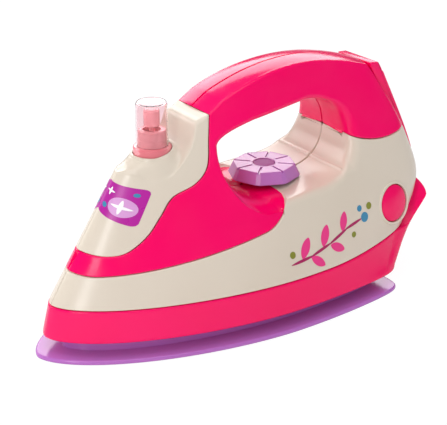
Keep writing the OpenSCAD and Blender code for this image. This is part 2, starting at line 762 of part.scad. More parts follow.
module pump_collar() {
    bore = stem_diameter + 2 * slide_gap;
    color(pink) at_spray() tube(collar_diameter, bore, cap_rest - slide_gap, collar_top);
}
module pump_body() {
    color("#f6f2f4") at_spray() difference() {
        translate([0, 0, pump_low]) cylinder(d = pump_diameter, h = cap_rest - slide_gap - pump_low);
        translate([0, 0, pump_low + pump_wall])
            cylinder(d = pump_diameter - 2 * pump_wall, h = cap_rest);
        translate([0, 0, pump_low - over]) cylinder(d = tube_bore, h = 2 * over + pump_wall);
    }
}
module dip_tube() {
    color("#f6f2f4") at_spray() tube(tube_diameter, tube_bore, tube_low, pump_low);
}
spring_low = pump_low + pump_wall + spring_wire;
spring_high = stem_low - spring_wire;
spring_radius = pump_diameter / 2 - pump_wall - spring_wire;
function spring_place(t) = [
    spring_radius * cos(360 * spring_turns * t),
    spring_radius * sin(360 * spring_turns * t),
    mix(spring_low, spring_high, t)
];
spring_steps = 8 * spring_turns;
spring_sides = 6;
function spring_ring(i) = let (
    t = i / spring_steps,
    centre = spring_place(t),
    turn = 360 * spring_turns * t,
    rise = atan((spring_high - spring_low) / (2 * PI * spring_radius * spring_turns))
) [for (k = [0:spring_sides - 1]) let (
    u = spring_wire / 2 * cos(360 * k / spring_sides),
    v = spring_wire / 2 * sin(360 * k / spring_sides)
) centre + [
    u * cos(turn) + v * sin(rise) * sin(turn),
    u * sin(turn) - v * sin(rise) * cos(turn),
    v * cos(rise)
]];
spring_gap = (spring_high - spring_low) / spring_turns - spring_wire;
module pump_spring() {
    echo(least_spring_gap = spring_gap);
    rings = [for (i = [0:spring_steps]) spring_ring(i)];
    last = spring_steps * spring_sides;
    color("silver") at_spray() polyhedron(
        [for (ring = rings) each ring],
        concat(
            [[for (k = [0:spring_sides - 1]) k]],
            [for (i = [0:spring_steps - 1], k = [0:spring_sides - 1]) let (
                a = i * spring_sides + k,
                b = i * spring_sides + (k + 1) % spring_sides
            ) each [[a, a + spring_sides, b + spring_sides], [a, b + spring_sides, b]]],
            [[for (k = [spring_sides - 1:-1:0]) last + k]]
        )
    );
}
module spray_head() {
    color("#f36aa4") at_spray() difference() {
        union() {
            translate([0, 0, stem_low]) cylinder(d = stem_diameter, h = head_low - stem_low + over);
            translate([0, 0, head_low]) cylinder(d = head_diameter, h = head_top - head_low);
            translate([0, 0, stem_low])
                cylinder(d = pump_diameter - 2 * pump_wall - 2 * slide_gap, h = pump_wall);
        }
        translate([0, 0, mix(head_low, head_top, nozzle_share)]) rotate([0, -90, 0])
            cylinder(d = nozzle_diameter, h = head_diameter);
    }
}
module spray_cap() {
    radius = cap_diameter / 2;
    top = cap_rest + cap_length;
    color("#f5f1f5", 0.45) at_spray() rotate_extrude() polygon([
        [radius - cap_wall, cap_rest],
        [radius, cap_rest],
        [radius - cap_wall / 3, top - cap_wall],
        [radius - cap_wall, top],
        [0, top],
        [0, top - cap_wall],
        [radius - 1.5 * cap_wall, top - cap_wall],
        [radius - cap_wall, cap_rest + cap_wall]
    ]);
}

// Dial: eight-sided knob whose shaft turns in the floor, held from below by a washer and a screw
dial_x = 35.4;
dial_rest = 64.9;
dial_sides = 8;
dial_run = 0.05;
groove_width = 1;
groove_depth = 0.6;
groove_hub = 7;
hub_cap = 11;
hub_depth = 1.4;
retainer_diameter = 16;
retainer_thickness = 1.5;
retainer_top = floor_z(dial_x) - wall - retainer_diameter / 2 * floor_slope_share - slide_gap;
module at_dial() {
    translate([dial_x, 0, 0]) children();
}
module dial_bore() {
    at_dial() translate([0, 0, well_floor - wall - over])
        cylinder(d = dial_shaft + 2 * dial_run, h = dial_rest - well_floor + wall + 2 * over);
}
module dial() {
    color(lilac) at_dial() difference() {
        union() {
            translate([0, 0, dial_rest])
                cylinder(d1 = dial_foot, d2 = dial_face, h = dial_height, $fn = dial_sides);
            translate([0, 0, retainer_top]) cylinder(d = dial_shaft, h = dial_rest - retainer_top + over);
        }
        for (i = [0:dial_sides - 1]) rotate([0, 0, 360 * i / dial_sides])
            translate([groove_hub, -groove_width / 2, dial_rest + dial_height - groove_depth])
                cube([dial_foot, groove_width, groove_depth + over]);
        translate([0, 0, dial_rest + dial_height - hub_depth])
            cylinder(d = hub_cap + 2 * parting, h = hub_depth + over);
        translate([0, 0, retainer_top - over]) cylinder(d = screw_shank, h = screw_reach / 2 + over);
    }
}
module dial_cap() {
    color("#7f4c9c") at_dial() translate([0, 0, dial_rest + dial_height - hub_depth])
        cylinder(d = hub_cap, h = hub_depth - groove_depth / 2);
}
module dial_retainer() {
    color("silver") at_dial() tube(
        retainer_diameter, screw_shank + 2 * screw_clearance, retainer_top - retainer_thickness, retainer_top
    );
}
module dial_screw() {
    low = retainer_top - retainer_thickness;
    color("silver") at_dial() {
        translate([0, 0, low - screw_head_depth]) cylinder(d = screw_head, h = screw_head_depth);
        translate([0, 0, low - screw_head_depth])
            cylinder(d = screw_shank, h = screw_head_depth + retainer_thickness + screw_reach / 2 - over);
    }
}

// Side buttons: round caps square to the panel, each pressing a switch on the board
button_proud = 0.7;
button_gap = 0.3;
button_travel = 1.5;
button_flange = 2.4;
flange_top = 4.8;
flange_low = 6.2;
button_stem = 4;
stem_reach = 8.6;
switch_size = 6;
switch_height = 4;
switch_lift = 0.3;
plunger_diameter = 3;
plunger_height = 0.8;
probe = 0.5;
button_x = rear_reach - button_setback;
button_half = half_width(button_x, button_z);
slope_x = (half_width(button_x + probe, button_z) - half_width(button_x - probe, button_z)) / (2 * probe);
slope_z = (half_width(button_x, button_z + probe) - half_width(button_x, button_z - probe)) / (2 * probe);
button_axis = [-slope_x, -1, -slope_z] / norm([-slope_x, -1, -slope_z]);
module at_button() {
    translate([button_x, -button_half, button_z])
        rotate([0, acos(button_axis[2]), atan2(button_axis[1], button_axis[0])]) children();
}
module button_bore() {
    at_button() translate([0, 0, -flange_low])
        cylinder(d = button_diameter + 2 * button_gap, h = 2 * flange_low);
}
module button_shape() {
    dome = button_diameter * 2;
    color(pink) at_button() {
        intersection() {
            translate([0, 0, -flange_low]) cylinder(d = button_diameter, h = flange_low + button_proud);
            translate([0, 0, button_proud - dome]) sphere(r = dome);
        }
        translate([0, 0, -flange_low])
            cylinder(d = button_diameter + button_flange, h = flange_low - flange_top);
        translate([0, 0, -stem_reach]) cylinder(d = button_stem, h = stem_reach - flange_top);
    }
}
module button_left() {
    button_shape();
}
module button_right() {
    mirror([0, 1, 0]) button_shape();
}
module switch_shape() {
    reach = stem_reach + button_travel + switch_lift + plunger_height;
    color("#33343a") at_button() translate([0, 0, -reach - switch_height]) {
        translate([-switch_size / 2, -switch_size / 2, 0]) cube([switch_size, switch_size, switch_height]);
        translate([0, 0, switch_height]) cylinder(d = plunger_diameter, h = plunger_height);
    }
}
module switches() {
    switch_shape();
    mirror([0, 1, 0]) switch_shape();
}

// Circuit board standing in the base plate, and the speaker in its ring
board_setback = 7;
board_x = button_x - board_setback;
board_width = 44;
board_height = 34;
board_thickness = 1.6;
speaker_x = -15;
speaker_diameter = 28;
speaker_height = 6;
inner_floor = skirt_bottom + base_gap + base_floor;
module circuit_board() {
    color("#2f7d4f") translate([board_x - board_thickness / 2, -board_width / 2, inner_floor])
        cube([board_thickness, board_width, board_height]);
}
module speaker() {
    magnet = speaker_diameter / 2;
    color("#3a3a3e") translate([speaker_x, 0, inner_floor]) {
        cylinder(d = speaker_diameter, h = speaker_height / 3);
        translate([0, 0, speaker_height / 3])
            cylinder(d1 = speaker_diameter - speaker_height / 2, d2 = magnet, h = speaker_height / 3);
        translate([0, 0, 2 * speaker_height / 3]) cylinder(d = magnet, h = speaker_height / 2);
    }
}

// Battery bay: a frame that lies along the back, with x outward and z up the slope
bay_drop = 32.5;
bay_z = handle_top - bay_drop;
bay_span = 10;
bay_x = rear_x(bay_z);
back_angle = atan((rear_x(bay_z - bay_span) - rear_x(bay_z + bay_span)) / (2 * bay_span));
tray_wall = 1;
cell_gap = 0.3;
cell_depth = 3;
bay_shift = 3.4;
bay_low = -cell_length / 2 - bay_shift;
bay_half = cell_diameter + 2 * cell_gap;
door_low = -33;
door_high = 28;
door_gap = 0.3;
notch_depth = 1;
notch_start = 7;
notch_end = 9.5;
door_top_share = 0.9;
door_foot = 2.6;
pocket_depth = 1.8;
pocket_low = -14;
pocket_high = 15;
door_screw_z = -29;
door_wall = 2;
nub_diameter = 3.6;
nub_height = 0.8;
plate_thickness = 0.4;
module at_bay() {
    translate([bay_x, 0, bay_z]) rotate([0, -back_angle, 0]) children();
}
function to_bay(p) = [
    (p[0] - bay_x) * cos(back_angle) + (p[1] - bay_z) * sin(back_angle),
    (p[1] - bay_z) * cos(back_angle) - (p[0] - bay_x) * sin(back_angle)
];
bay_length = cell_length + 2 * (tray_wall + plate_thickness + cell_gap);
module battery_slot() {
    slot_half = bay_half + tray_wall + parting;
    slot_depth = cell_depth + cell_diameter + cell_gap + tray_wall + parting;
    at_bay() translate([-slot_depth, -slot_half, bay_low - parting])
        cube([slot_depth + wall + lip, 2 * slot_half, bay_length + 2 * parting]);
}
module side_extrude(width) {
    rotate([90, 0, 0]) linear_extrude(width, center = true) children();
}
function door_seat(t) = to_bay(back_line(bay_z + t * cos(back_angle)));
module battery_door() {
    shelf = door_height * door_top_share;
    ridge = steps(door_high - notch_end, door_low, 6, 0);
    foot_share = (door_height - door_foot) / (door_high - notch_end - door_low);
    crown_seat = (back_rows[0][1][1] - bay_z) / cos(back_angle);
    color(pink) at_bay() difference() {
        side_extrude(door_width) polygon(concat(
            [for (t = steps(door_low, crown_seat, 8, 0)) door_seat(t) + [door_gap, 0]],
            [door_seat(door_high) + [door_gap + crown, 0]],
            [[door_gap + shelf, door_high - shelf * tan(back_angle)]],
            [[door_gap + door_height - notch_depth, door_high - notch_start]],
            [for (t = ridge) door_seat(t) + [door_gap + door_foot + (t - door_low) * foot_share, 0]]
        ));
        translate([-door_wall, door_wall - door_width / 2, pocket_low])
            cube([door_wall + door_gap + pocket_depth, door_width - 2 * door_wall, pocket_high - pocket_low]);
        at_door_screw() cylinder(d = screw_shank + 2 * screw_clearance, h = 2 * screw_reach, center = true);
        at_door_screw() cylinder(d = screw_head + 2 * screw_clearance, h = screw_reach);
    }
}
module at_door_screw() {
    seat = door_seat(door_screw_z);
    translate([seat[0] + door_gap + door_foot - screw_head_depth, 0, seat[1]]) rotate([0, 90, 0]) children();
}
module door_screw_bore() {
    at_bay() at_door_screw() cylinder(d = screw_shank + 2 * slide_gap, h = 2 * screw_reach, center = true);
}
module door_screw() {
    color("silver") at_bay() at_door_screw() {
        cylinder(d = screw_head, h = screw_head_depth);
        translate([0, 0, -screw_reach / 2])
            cylinder(d = screw_shank, h = screw_reach / 2 + screw_head_depth / 2);
    }
}
module at_cells() {
    low = bay_low + tray_wall + plate_thickness + cell_gap;
    for (side = [-1, 1])
        translate([-cell_depth - cell_diameter / 2, side * (cell_diameter + cell_gap) / 2, low]) children();
}
module cells() {
    color("#c9a227") at_bay() at_cells() {
        cylinder(d = cell_diameter, h = cell_length - nub_height);
        translate([0, 0, cell_length - nub_height]) cylinder(d = nub_diameter, h = nub_height);
    }
}
module battery_tray() {
    depth = cell_diameter + cell_gap;
    color("#f2f2f2") at_bay() translate([-cell_depth - depth - tray_wall, -bay_half - tray_wall, bay_low])
        difference() {
            cube([depth + tray_wall, 2 * (bay_half + tray_wall), bay_length]);
            translate([tray_wall, tray_wall, tray_wall])
                cube([depth + over, 2 * bay_half, bay_length - 2 * tray_wall]);
        }
}
module contact_plates() {
    width = 2 * cell_diameter;
    low_end = bay_low + tray_wall;
    high_end = bay_low + bay_length - tray_wall - plate_thickness;
    color("silver") at_bay() for (end = [low_end, high_end])
        translate([-cell_depth - cell_diameter, -width / 2, end])
            cube([cell_diameter, width, plate_thickness]);
}

// Every node is drawn by its own line
soleplate();
base_plate();
skirt();
side_panel_left();
side_panel_right();
nose_cover();
handle_left();
handle_right();
battery_door();
door_screw();
battery_tray();
cells();
contact_plates();
dial();
dial_cap();
dial_retainer();
dial_screw();
bottle();
neck_ring();
pump_collar();
pump_body();
pump_spring();
dip_tube();
spray_head();
spray_cap();
button_left();
button_right();
switches();
circuit_board();
speaker();
sole_screws();
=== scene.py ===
"""Toy iron: smooth mouldings, finishes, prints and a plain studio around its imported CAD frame.

Lengths in the classes are millimetres in the part's frame: origin in the middle of the
soleplate's underside, nose toward -X, left side toward -Y, +Z up. Meshes are scaled to metres as
they are made. Only the studio's own lengths are metres.
"""

import logging
import math
from dataclasses import dataclass
from enum import Enum
from functools import partial
from typing import Sequence

import bmesh
import bpy
import numpy as np
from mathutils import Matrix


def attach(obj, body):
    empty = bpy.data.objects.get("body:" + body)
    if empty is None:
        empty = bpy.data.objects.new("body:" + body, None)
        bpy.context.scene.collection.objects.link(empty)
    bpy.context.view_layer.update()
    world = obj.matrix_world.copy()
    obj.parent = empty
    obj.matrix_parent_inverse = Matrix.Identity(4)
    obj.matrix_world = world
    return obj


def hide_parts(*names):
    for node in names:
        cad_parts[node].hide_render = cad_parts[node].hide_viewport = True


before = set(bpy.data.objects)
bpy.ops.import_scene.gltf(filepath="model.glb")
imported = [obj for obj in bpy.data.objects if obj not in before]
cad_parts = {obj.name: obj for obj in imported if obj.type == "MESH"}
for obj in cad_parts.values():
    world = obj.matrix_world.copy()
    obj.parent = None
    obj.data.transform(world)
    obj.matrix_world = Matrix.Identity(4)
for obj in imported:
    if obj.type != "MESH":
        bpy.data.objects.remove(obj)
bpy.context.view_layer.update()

Array = np.ndarray
Object = bpy.types.Object
Socket = bpy.types.NodeSocket
Tree = bpy.types.NodeTree
Pair = tuple[float, float]
Triple = tuple[float, float, float]
Pairs = tuple[Pair, ...]
Triples = tuple[Triple, ...]
Shape = tuple[Array, Array]

MM = 0.001
QUARTER = np.pi / 2
MIRROR = np.array([1.0, -1.0, 1.0])
LOG = logging.getLogger("toy_iron")


def mix(a: Array, b: Array, t: Array) -> Array:
    """The point a share t of the way from a to b."""
    return a + (b - a) * t


def smooth(t: Array) -> Array:
    """A share that eases in and out: 3t^2 - 2t^3 of t held between 0 and 1."""
    held = np.clip(t, 0.0, 1.0)
    return held * held * (3.0 - 2.0 * held)


def shares(count: int, first: bool = True) -> Array:
    """Evenly spaced shares from 0 to 1, with or without the 0."""
    return np.linspace(0.0, 1.0, count + 1)[0 if first else 1:]


def around(sides: int) -> Array:
    """Evenly spaced angles of one turn."""
    return np.linspace(0.0, 2.0 * np.pi, sides, endpoint=False)


def bend(a: Array, b: Array, c: Array, t: Array) -> Array:
    """Points of the quadratic curve from a to c that leaves and arrives toward b."""
    t = np.asarray(t)[:, None]
    return mix(mix(a, b, t), mix(b, c, t), t)


def eased_lookup(x: Array, table: Sequence[Pair]) -> Array:
    """Reads a table along a smooth curve.

    Each span is a cubic whose end slopes are those between the neighbouring entries.

    Args:
        x: Where to read, held inside the table.
        table: Pairs of place and value, in rising order of place.

    Returns:
        The values at x.
    """
    at, value = np.array(table).T
    slope = np.gradient(value, at)
    x = np.clip(x, at[0], at[-1])
    i = np.clip(np.searchsorted(at, x) - 1, 0, len(at) - 2)
    span = at[i + 1] - at[i]
    t = (x - at[i]) / span
    rest = 1.0 - t
    return (
        (1.0 + 2.0 * t) * rest**2 * value[i] + t * rest**2 * span * slope[i]
        + t**2 * (3.0 - 2.0 * t) * value[i + 1] - t**2 * rest * span * slope[i + 1]
    )


def through(knots: Array, u: Array) -> Array:
    """Points of a cubic curve that passes through every knot.

    Its slope at a knot is half the chord between the knots before and after.

    Args:
        knots: Rows of x and z.
        u: Knot numbers, with parts of one between two knots.

    Returns:
        A point for each number.
    """
    i = np.clip(np.floor(u).astype(int), 0, len(knots) - 2)
    t = (u - i)[:, None]
    a, b, c, d = (knots[np.clip(i + k, 0, len(knots) - 1)] for k in (-1, 0, 1, 2))
    return (
        b + (c - a) * t / 2
        + (2 * a - 5 * b + 4 * c - d) * t**2 / 2
        + (3 * b - a - 3 * c + d) * t**3 / 2
    )


def spots(*axes: Array) -> Array:
    """Points from their coordinates, spread to one common shape."""
    return np.stack(np.broadcast_arrays(*axes), -1)


def unit(v: Array) -> Array:
    """Vectors of the same directions and of length 1."""
    return v / np.linalg.norm(v, axis=-1, keepdims=True)


def inward(edge: Array, toward: Array) -> Array:
    """Directions square to an edge line, on the side of the given directions.

    Args:
        edge: Points along the line, as rows of x and z.
        toward: A rough direction away from the line for each point.

    Returns:
        Unit vectors square to the line.
    """
    run = unit(np.gradient(edge, axis=0))
    square = spots(-run[:, 1], run[:, 0])
    return square * np.sign((square * toward).sum(-1, keepdims=True))


def quad_grid(
    rows: int, columns: int, loop_rows: bool = False, loop_columns: bool = False
) -> Array:
    """Quads of a grid of points that are numbered row by row.

    Args:
        rows: Rows of the grid.
        columns: Columns of the grid.
        loop_rows: Whether the last row joins the first.
        loop_columns: Whether the last column joins the first.

    Returns:
        Corner numbers, four to a quad.
    """
    i = np.arange(rows if loop_rows else rows - 1)[:, None]
    j = np.arange(columns if loop_columns else columns - 1)[None, :]
    k, m = (i + 1) % rows, (j + 1) % columns
    corners = [i * columns + j, i * columns + m, k * columns + m, k * columns + j]
    return np.stack(corners, -1).reshape(-1, 4)


def shell_quads(rows: int, columns: int, folded: bool = False) -> Array:
    """Quads of a wall between two equal grids, closed along its edges.

    Args:
        rows: Rows of each grid.
        columns: Columns of each grid.
        folded: Whether the first row lies folded on itself and needs no closing.

    Returns:
        Corner numbers; the inner grid's points follow the outer grid's.
    """
    count = rows * columns
    face = quad_grid(rows, columns)
    i = np.arange(rows - 1) * columns
    k, end = i + columns, columns - 1
    j = np.arange(columns - 1)
    last = (rows - 1) * columns + j
    first = np.stack([j, count + j, count + j + 1, j + 1], -1)
    return np.concatenate([
        face,
        face[:, ::-1] + count,
        np.stack([i, k, count + k, count + i], -1),
        np.stack([i + end, count + i + end, count + k + end, k + end], -1),
        first[:0] if folded else first,
        np.stack([last, last + 1, count + last + 1, count + last], -1),
    ])


def surface(grid: Array, loop_rows: bool, loop_columns: bool) -> Shape:
    """Points and quads of a grid of points."""
    return grid.reshape(-1, 3), quad_grid(*grid.shape[:2], loop_rows, loop_columns)


def shell(outer: Array, inner: Array, folded: bool = False) -> Shape:
    """Points and quads of a wall between two equal grids of points."""
    points = np.concatenate([outer.reshape(-1, 3), inner.reshape(-1, 3)])
    return points, shell_quads(*outer.shape[:2], folded)


def gathered(shapes: Sequence[Shape]) -> Shape:
    """Several meshes as one, with the corner numbers of each moved on past those before it.

    Args:
        shapes: Points and quads of each mesh.

    Returns:
        Points and quads of all.
    """
    starts = np.cumsum([0] + [len(points) for points, _ in shapes])
    return (
        np.concatenate([points for points, _ in shapes]),
        np.concatenate([quads + start for (_, quads), start in zip(shapes, starts)]),
    )


def block(low: Sequence[float], high: Sequence[float]) -> Shape:
    """A box between two corners.

    Args:
        low: The corner with the smallest x, y and z.
        high: The corner with the largest.

    Returns:
        Points and quads.
    """
    corner = np.indices((2, 2, 2)).reshape(3, -1).T.astype(float)
    quads = np.array([
        [0, 1, 3, 2], [4, 6, 7, 5], [0, 4, 5, 1], [2, 3, 7, 6], [0, 2, 6, 4], [1, 5, 7, 3],
    ])
    return mix(np.array(low), np.array(high), corner), quads


def lathe(profile: Sequence[Pair], sides: int = 96) -> Shape:
    """A closed profile of radius and height, carried once round the Z axis.

    Args:
        profile: Radius and height of each corner, in order round the section.
        sides: Steps of the turn.

    Returns:
        Points and quads.
    """
    section = np.array(profile)
    turn = around(sides)
    points = spots(
        section[None, :, 0] * np.cos(turn)[:, None],
        section[None, :, 0] * np.sin(turn)[:, None],
        np.broadcast_to(section[None, :, 1], (sides, len(section))),
    )
    return points.reshape(-1, 3), quad_grid(sides, len(section), True, True)


def rounded(corners: Sequence[Triple], steps: int = 5) -> list[Pair]:
    """A closed section with its corners rounded.

    Each corner becomes a short curve that leaves one side and arrives on the next, both at the
    corner's own distance from it.

    Args:
        corners: Place and rounding distance of each corner.
        steps: Steps of each curve.

    Returns:
        The section's points.
    """
    place = np.array([c[:2] for c in corners])
    points: list[Pair] = []
    for k, (x, z, reach) in enumerate(corners):
        here = place[k]
        if reach == 0:
            points.append((x, z))
            continue
        before = here + unit(place[k - 1] - here) * reach
        after = here + unit(place[(k + 1) % len(place)] - here) * reach
        points.extend(map(tuple, bend(before, here, after, shares(steps))))
    return points


class Body(Enum):
    """The bodies that pieces ride on."""

    HOUSING = "housing"
    DIAL = "dial"
    BOTTLE = "bottle"
    HEAD = "spray_head"
    CAP = "spray_cap"
    LEFT_BUTTON = "button_left"
    RIGHT_BUTTON = "button_right"
    DOOR = "battery_door"


class Side(Enum):
    """The two sides of the iron, by the sign of Y."""

    LEFT = -1.0
    RIGHT = 1.0

    @property
    def label(self) -> str:
        """The side's word in the names of pieces."""
        return self.name.lower()

    @property
    def turn(self) -> Array:
        """Factors that bring points of the left side to this side."""
        return np.array([1.0, -self.value, 1.0])


def build_mesh(
    name: str, points: Array, quads: Array, weld: float = 0.004, closed: bool = True
) -> Object:
    """Makes a mesh object, welds its doubles and turns its faces outward.

    Args:
        name: Name of the piece.
        points: Corner places in millimetres.
        quads: Corner numbers of each face.
        weld: Points nearer than this become one.
        closed: Whether the surface closes on itself, so that its outside is known.

    Returns:
        The new object, linked to the scene.
    """
    mesh = bpy.data.meshes.new(name)
    mesh.vertices.add(len(points))
    mesh.vertices.foreach_set("co", (np.asarray(points, float) * MM).ravel())
    mesh.loops.add(quads.size)
    mesh.loops.foreach_set("vertex_index", quads.astype(np.int32).ravel())
    mesh.polygons.add(len(quads))
    starts = np.arange(0, quads.size, quads.shape[1], dtype=np.int32)
    mesh.polygons.foreach_set("loop_start", starts)
    mesh.update(calc_edges=True)
    work = bmesh.new()
    work.from_mesh(mesh)
    bmesh.ops.remove_doubles(work, verts=work.verts, dist=weld * MM)
    bmesh.ops.dissolve_degenerate(work, dist=weld * MM / 4, edges=work.edges)
    if closed:
        bmesh.ops.recalc_face_normals(work, faces=work.faces)
    work.to_mesh(mesh)
    work.free()
    piece = bpy.data.objects.new(name, mesh)
    bpy.context.scene.collection.objects.link(piece)
    return piece


def cut(piece: Object, points: Array, quads: Array) -> None:
    """Takes a closed shape away from a piece, and leaves the result in the piece's own mesh.

    Modifiers that the piece has already are worked into the mesh too.

    Args:
        piece: The piece, a closed mesh.
        points: Points of the shape.
        quads: Its quads.
    """
    cutter = build_mesh("cutter", points, quads)
    carve = piece.modifiers.new("cut", "BOOLEAN")
    carve.operation = "DIFFERENCE"
    carve.solver = "MANIFOLD"
    carve.object = cutter
    bpy.context.view_layer.update()
    before = piece.data
    carved = piece.evaluated_get(bpy.context.evaluated_depsgraph_get())
    piece.data = bpy.data.meshes.new_from_object(carved)
    piece.modifiers.clear()
    piece.data.name = piece.name
    bpy.data.meshes.remove(before)
    bpy.data.objects.remove(cutter)


def dress(
    piece: Object,
    finish: "Finish",
    body: Body,
    slot: str,
    replaces: Sequence[str] = (),
    crease: float = 38.0,
) -> None:
    """Shades, colours and mounts a piece.

    Args:
        piece: The finished mesh object.
        finish: Its surface.
        body: The body that it rides on.
        slot: The record's material slot that it stands for; not used.
        replaces: CAD nodes that it is shown in place of.
        crease: Edges sharper than this, in degrees, stay sharp.
    """
    piece.data.shade_smooth()
    piece.data.set_sharp_from_angle(angle=math.radians(crease))
    piece.data.materials.clear()
    piece.data.materials.append(finish.material())
    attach(piece, body.value)
    if replaces:
        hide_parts(*replaces)
    LOG.info("%s rides on %s", piece.name, body.value)


def srgb(code: str) -> tuple[float, float, float, float]:
    """A colour code as linear light.

    Args:
        code: Red, green and blue in hexadecimal, such as ef1f72.

    Returns:
        Linear red, green and blue, and 1.
    """
    levels = np.array([int(code[k:k + 2], 16) for k in (0, 2, 4)]) / 255.0
    linear = np.where(levels <= 0.04045, levels / 12.92, ((levels + 0.055) / 1.055) ** 2.4)
    return (*linear.tolist(), 1.0)


@dataclass(frozen=True)
class MouldedSkin:
    """The look of a moulding: slow colour drift, uneven gloss and the fine waves of its skin."""

    label: str = "moulded skin"
    drift: Pair = (14.0, 2.0)
    handling: Pair = (60.0, 4.0)
    wave: Pair = (130.0, 1.0)
    pores: Pair = (1600.0, 2.0)
    pore_share: float = 0.08
    middle: Pair = (0.3, 0.7)

    INPUTS = (
        ("Colour", "NodeSocketColor"), ("Drift Colour", "NodeSocketColor"),
        ("Gloss Low", "NodeSocketFloat"), ("Gloss High", "NodeSocketFloat"),
    )
    OUTPUTS = (
        ("Colour", "NodeSocketColor"), ("Roughness", "NodeSocketFloat"),
        ("Height", "NodeSocketFloat"),
    )

    def noise(self, tree: Tree, grain: Pair) -> Socket:
        """Adds a noise texture on Object coordinates.

        Args:
            tree: The node tree.
            grain: Scale and detail of the noise.

        Returns:
            The noise's value.
        """
        place = tree.nodes.new("ShaderNodeTexCoord")
        node = tree.nodes.new("ShaderNodeTexNoise")
        node.inputs["Scale"].default_value, node.inputs["Detail"].default_value = grain
        tree.links.new(place.outputs["Object"], node.inputs["Vector"])
        return node.outputs["Fac"]

    def blend(
        self, tree: Tree, grain: Pair, kind: str, a: Socket,
        b: Socket,
    ) -> Socket:
        """Mixes two inputs by a noise whose middle values are spread over the whole range.

        Args:
            tree: The node tree.
            grain: Scale and detail of the noise.
            kind: Data type of the mix.
            a: What shows where the noise is low.
            b: What shows where it is high.

        Returns:
            The mixed value.
        """
        spread = tree.nodes.new("ShaderNodeMapRange")
        for label, value in zip(("From Min", "From Max"), self.middle):
            spread.inputs[label].default_value = value
        tree.links.new(self.noise(tree, grain), spread.inputs["Value"])
        mixed = tree.nodes.new("ShaderNodeMix")
        mixed.data_type = kind
        tree.links.new(spread.outputs["Result"], mixed.inputs["Factor"])
        tree.links.new(a, mixed.inputs["A"])
        tree.links.new(b, mixed.inputs["B"])
        return mixed.outputs["Result"]

    def group(self) -> Tree:
        """Makes the shared shader node group once.

        Returns:
            The group. Its outputs are a colour, a roughness and a height.
        """
        found = bpy.data.node_groups.get(self.label)
        if found:
            return found
        group = bpy.data.node_groups.new(self.label, "ShaderNodeTree")
        for way, sockets in (("INPUT", self.INPUTS), ("OUTPUT", self.OUTPUTS)):
            for label, kind in sockets:
                group.interface.new_socket(label, in_out=way, socket_type=kind)
        given = group.nodes.new("NodeGroupInput").outputs
        result = group.nodes.new("NodeGroupOutput").inputs
        tint = self.blend(group, self.drift, "RGBA", given["Colour"], given["Drift Colour"])
        gloss = self.blend(group, self.handling, "FLOAT", given["Gloss Low"], given["Gloss High"])
        height = group.nodes.new("ShaderNodeMath")
        height.operation = "MULTIPLY_ADD"
        height.inputs[1].default_value = self.pore_share
        group.links.new(self.noise(group, self.pores), height.inputs[0])
        group.links.new(self.noise(group, self.wave), height.inputs[2])
        group.links.new(tint, result["Colour"])
        group.links.new(gloss, result["Roughness"])
        group.links.new(height.outputs["Value"], result["Height"])
        return group


SKIN = MouldedSkin()


@dataclass(frozen=True)
class Finish:
    """A finish of the iron: a moulded or rolled surface with drift in its colour and gloss."""

    name: str
    colour: str
    drift: str
    gloss_low: float = 0.12
    gloss_high: float = 0.26
    relief: float = 0.02
    metallic: float = 0.0
    clear: float = 0.0
    ior: float = 1.5

    RELIEF_STRENGTH = 0.25

    def material(self) -> bpy.types.Material:
        """Makes the material once.

        Returns:
            The material.
        """
        found = bpy.data.materials.get(self.name)
        if found:
            return found
        made = bpy.data.materials.new(self.name)
        made.use_nodes = True
        tree = made.node_tree
        shader = tree.nodes["Principled BSDF"]
        skin = tree.nodes.new("ShaderNodeGroup")
        skin.node_tree = SKIN.group()
        look = (srgb(self.colour), srgb(self.drift), self.gloss_low, self.gloss_high)
        for (label, _), value in zip(SKIN.INPUTS, look):
            skin.inputs[label].default_value = value
        relief = tree.nodes.new("ShaderNodeBump")
        relief.inputs["Strength"].default_value = self.RELIEF_STRENGTH
        relief.inputs["Distance"].default_value = self.relief * MM
        tree.links.new(skin.outputs["Colour"], shader.inputs["Base Color"])
        tree.links.new(skin.outputs["Roughness"], shader.inputs["Roughness"])
        tree.links.new(skin.outputs["Height"], relief.inputs["Height"])
        tree.links.new(relief.outputs["Normal"], shader.inputs["Normal"])
        shader.inputs["Metallic"].default_value = self.metallic
        shader.inputs["IOR"].default_value = self.ior
        shader.inputs["Transmission Weight"].default_value = self.clear
        return made


PINK = Finish("hot pink moulding", "fc0066", "f8005e", ior=1.38)
CREAM = Finish("cream moulding", "dfd3c2", "dbcebc", 0.2, 0.25)
LILAC = Finish("lilac moulding", "bd72c6", "b86cc1", 0.14, 0.2)
LAVENDER = Finish("lavender moulding", "c07cc6", "ba75c0", 0.16, 0.28)
VIOLET = Finish("violet moulding", "a24a9e", "9b4497", 0.5, 0.6, ior=1.3)
CLEAR = Finish("clear moulding", "fce9eb", "fae5e8", 0.08, 0.12, 0.005, clear=1.0, ior=1.12)
MILKY = Finish("milky moulding", "f4eef2", "efe6ec", 0.25, 0.4, 0.01, clear=0.6, ior=1.4)
ROSE = Finish("rose moulding", "f2858f", "ee7a85", 0.12, 0.2, 0.01, clear=0.15, ior=1.4)
BLUSH = Finish("blush moulding", "fbc3c8", "f9babf", 0.12, 0.2, 0.01, clear=0.25, ior=1.3)
WHITE = Finish("white moulding", "f2f2f0", "ebebe8")
STEEL = Finish("bright steel", "c9ccd0", "b4b8bd", 0.2, 0.35, 0.01, metallic=1.0)
JACKET = Finish("cell jacket", "c9a227", "b98f1c", 0.25, 0.4)
DARK = Finish("dark moulding", "2c2d32", "24252a", 0.35, 0.55)
BOARD = Finish("green laminate", "2f7d4f", "27703f", 0.3, 0.5)
PRINT_MAGENTA = Finish("magenta print", "b3165f", "a81058", 0.3, 0.42)
PRINT_ROSE = Finish("rose print", "f03a8c", "ea3083", 0.3, 0.42)
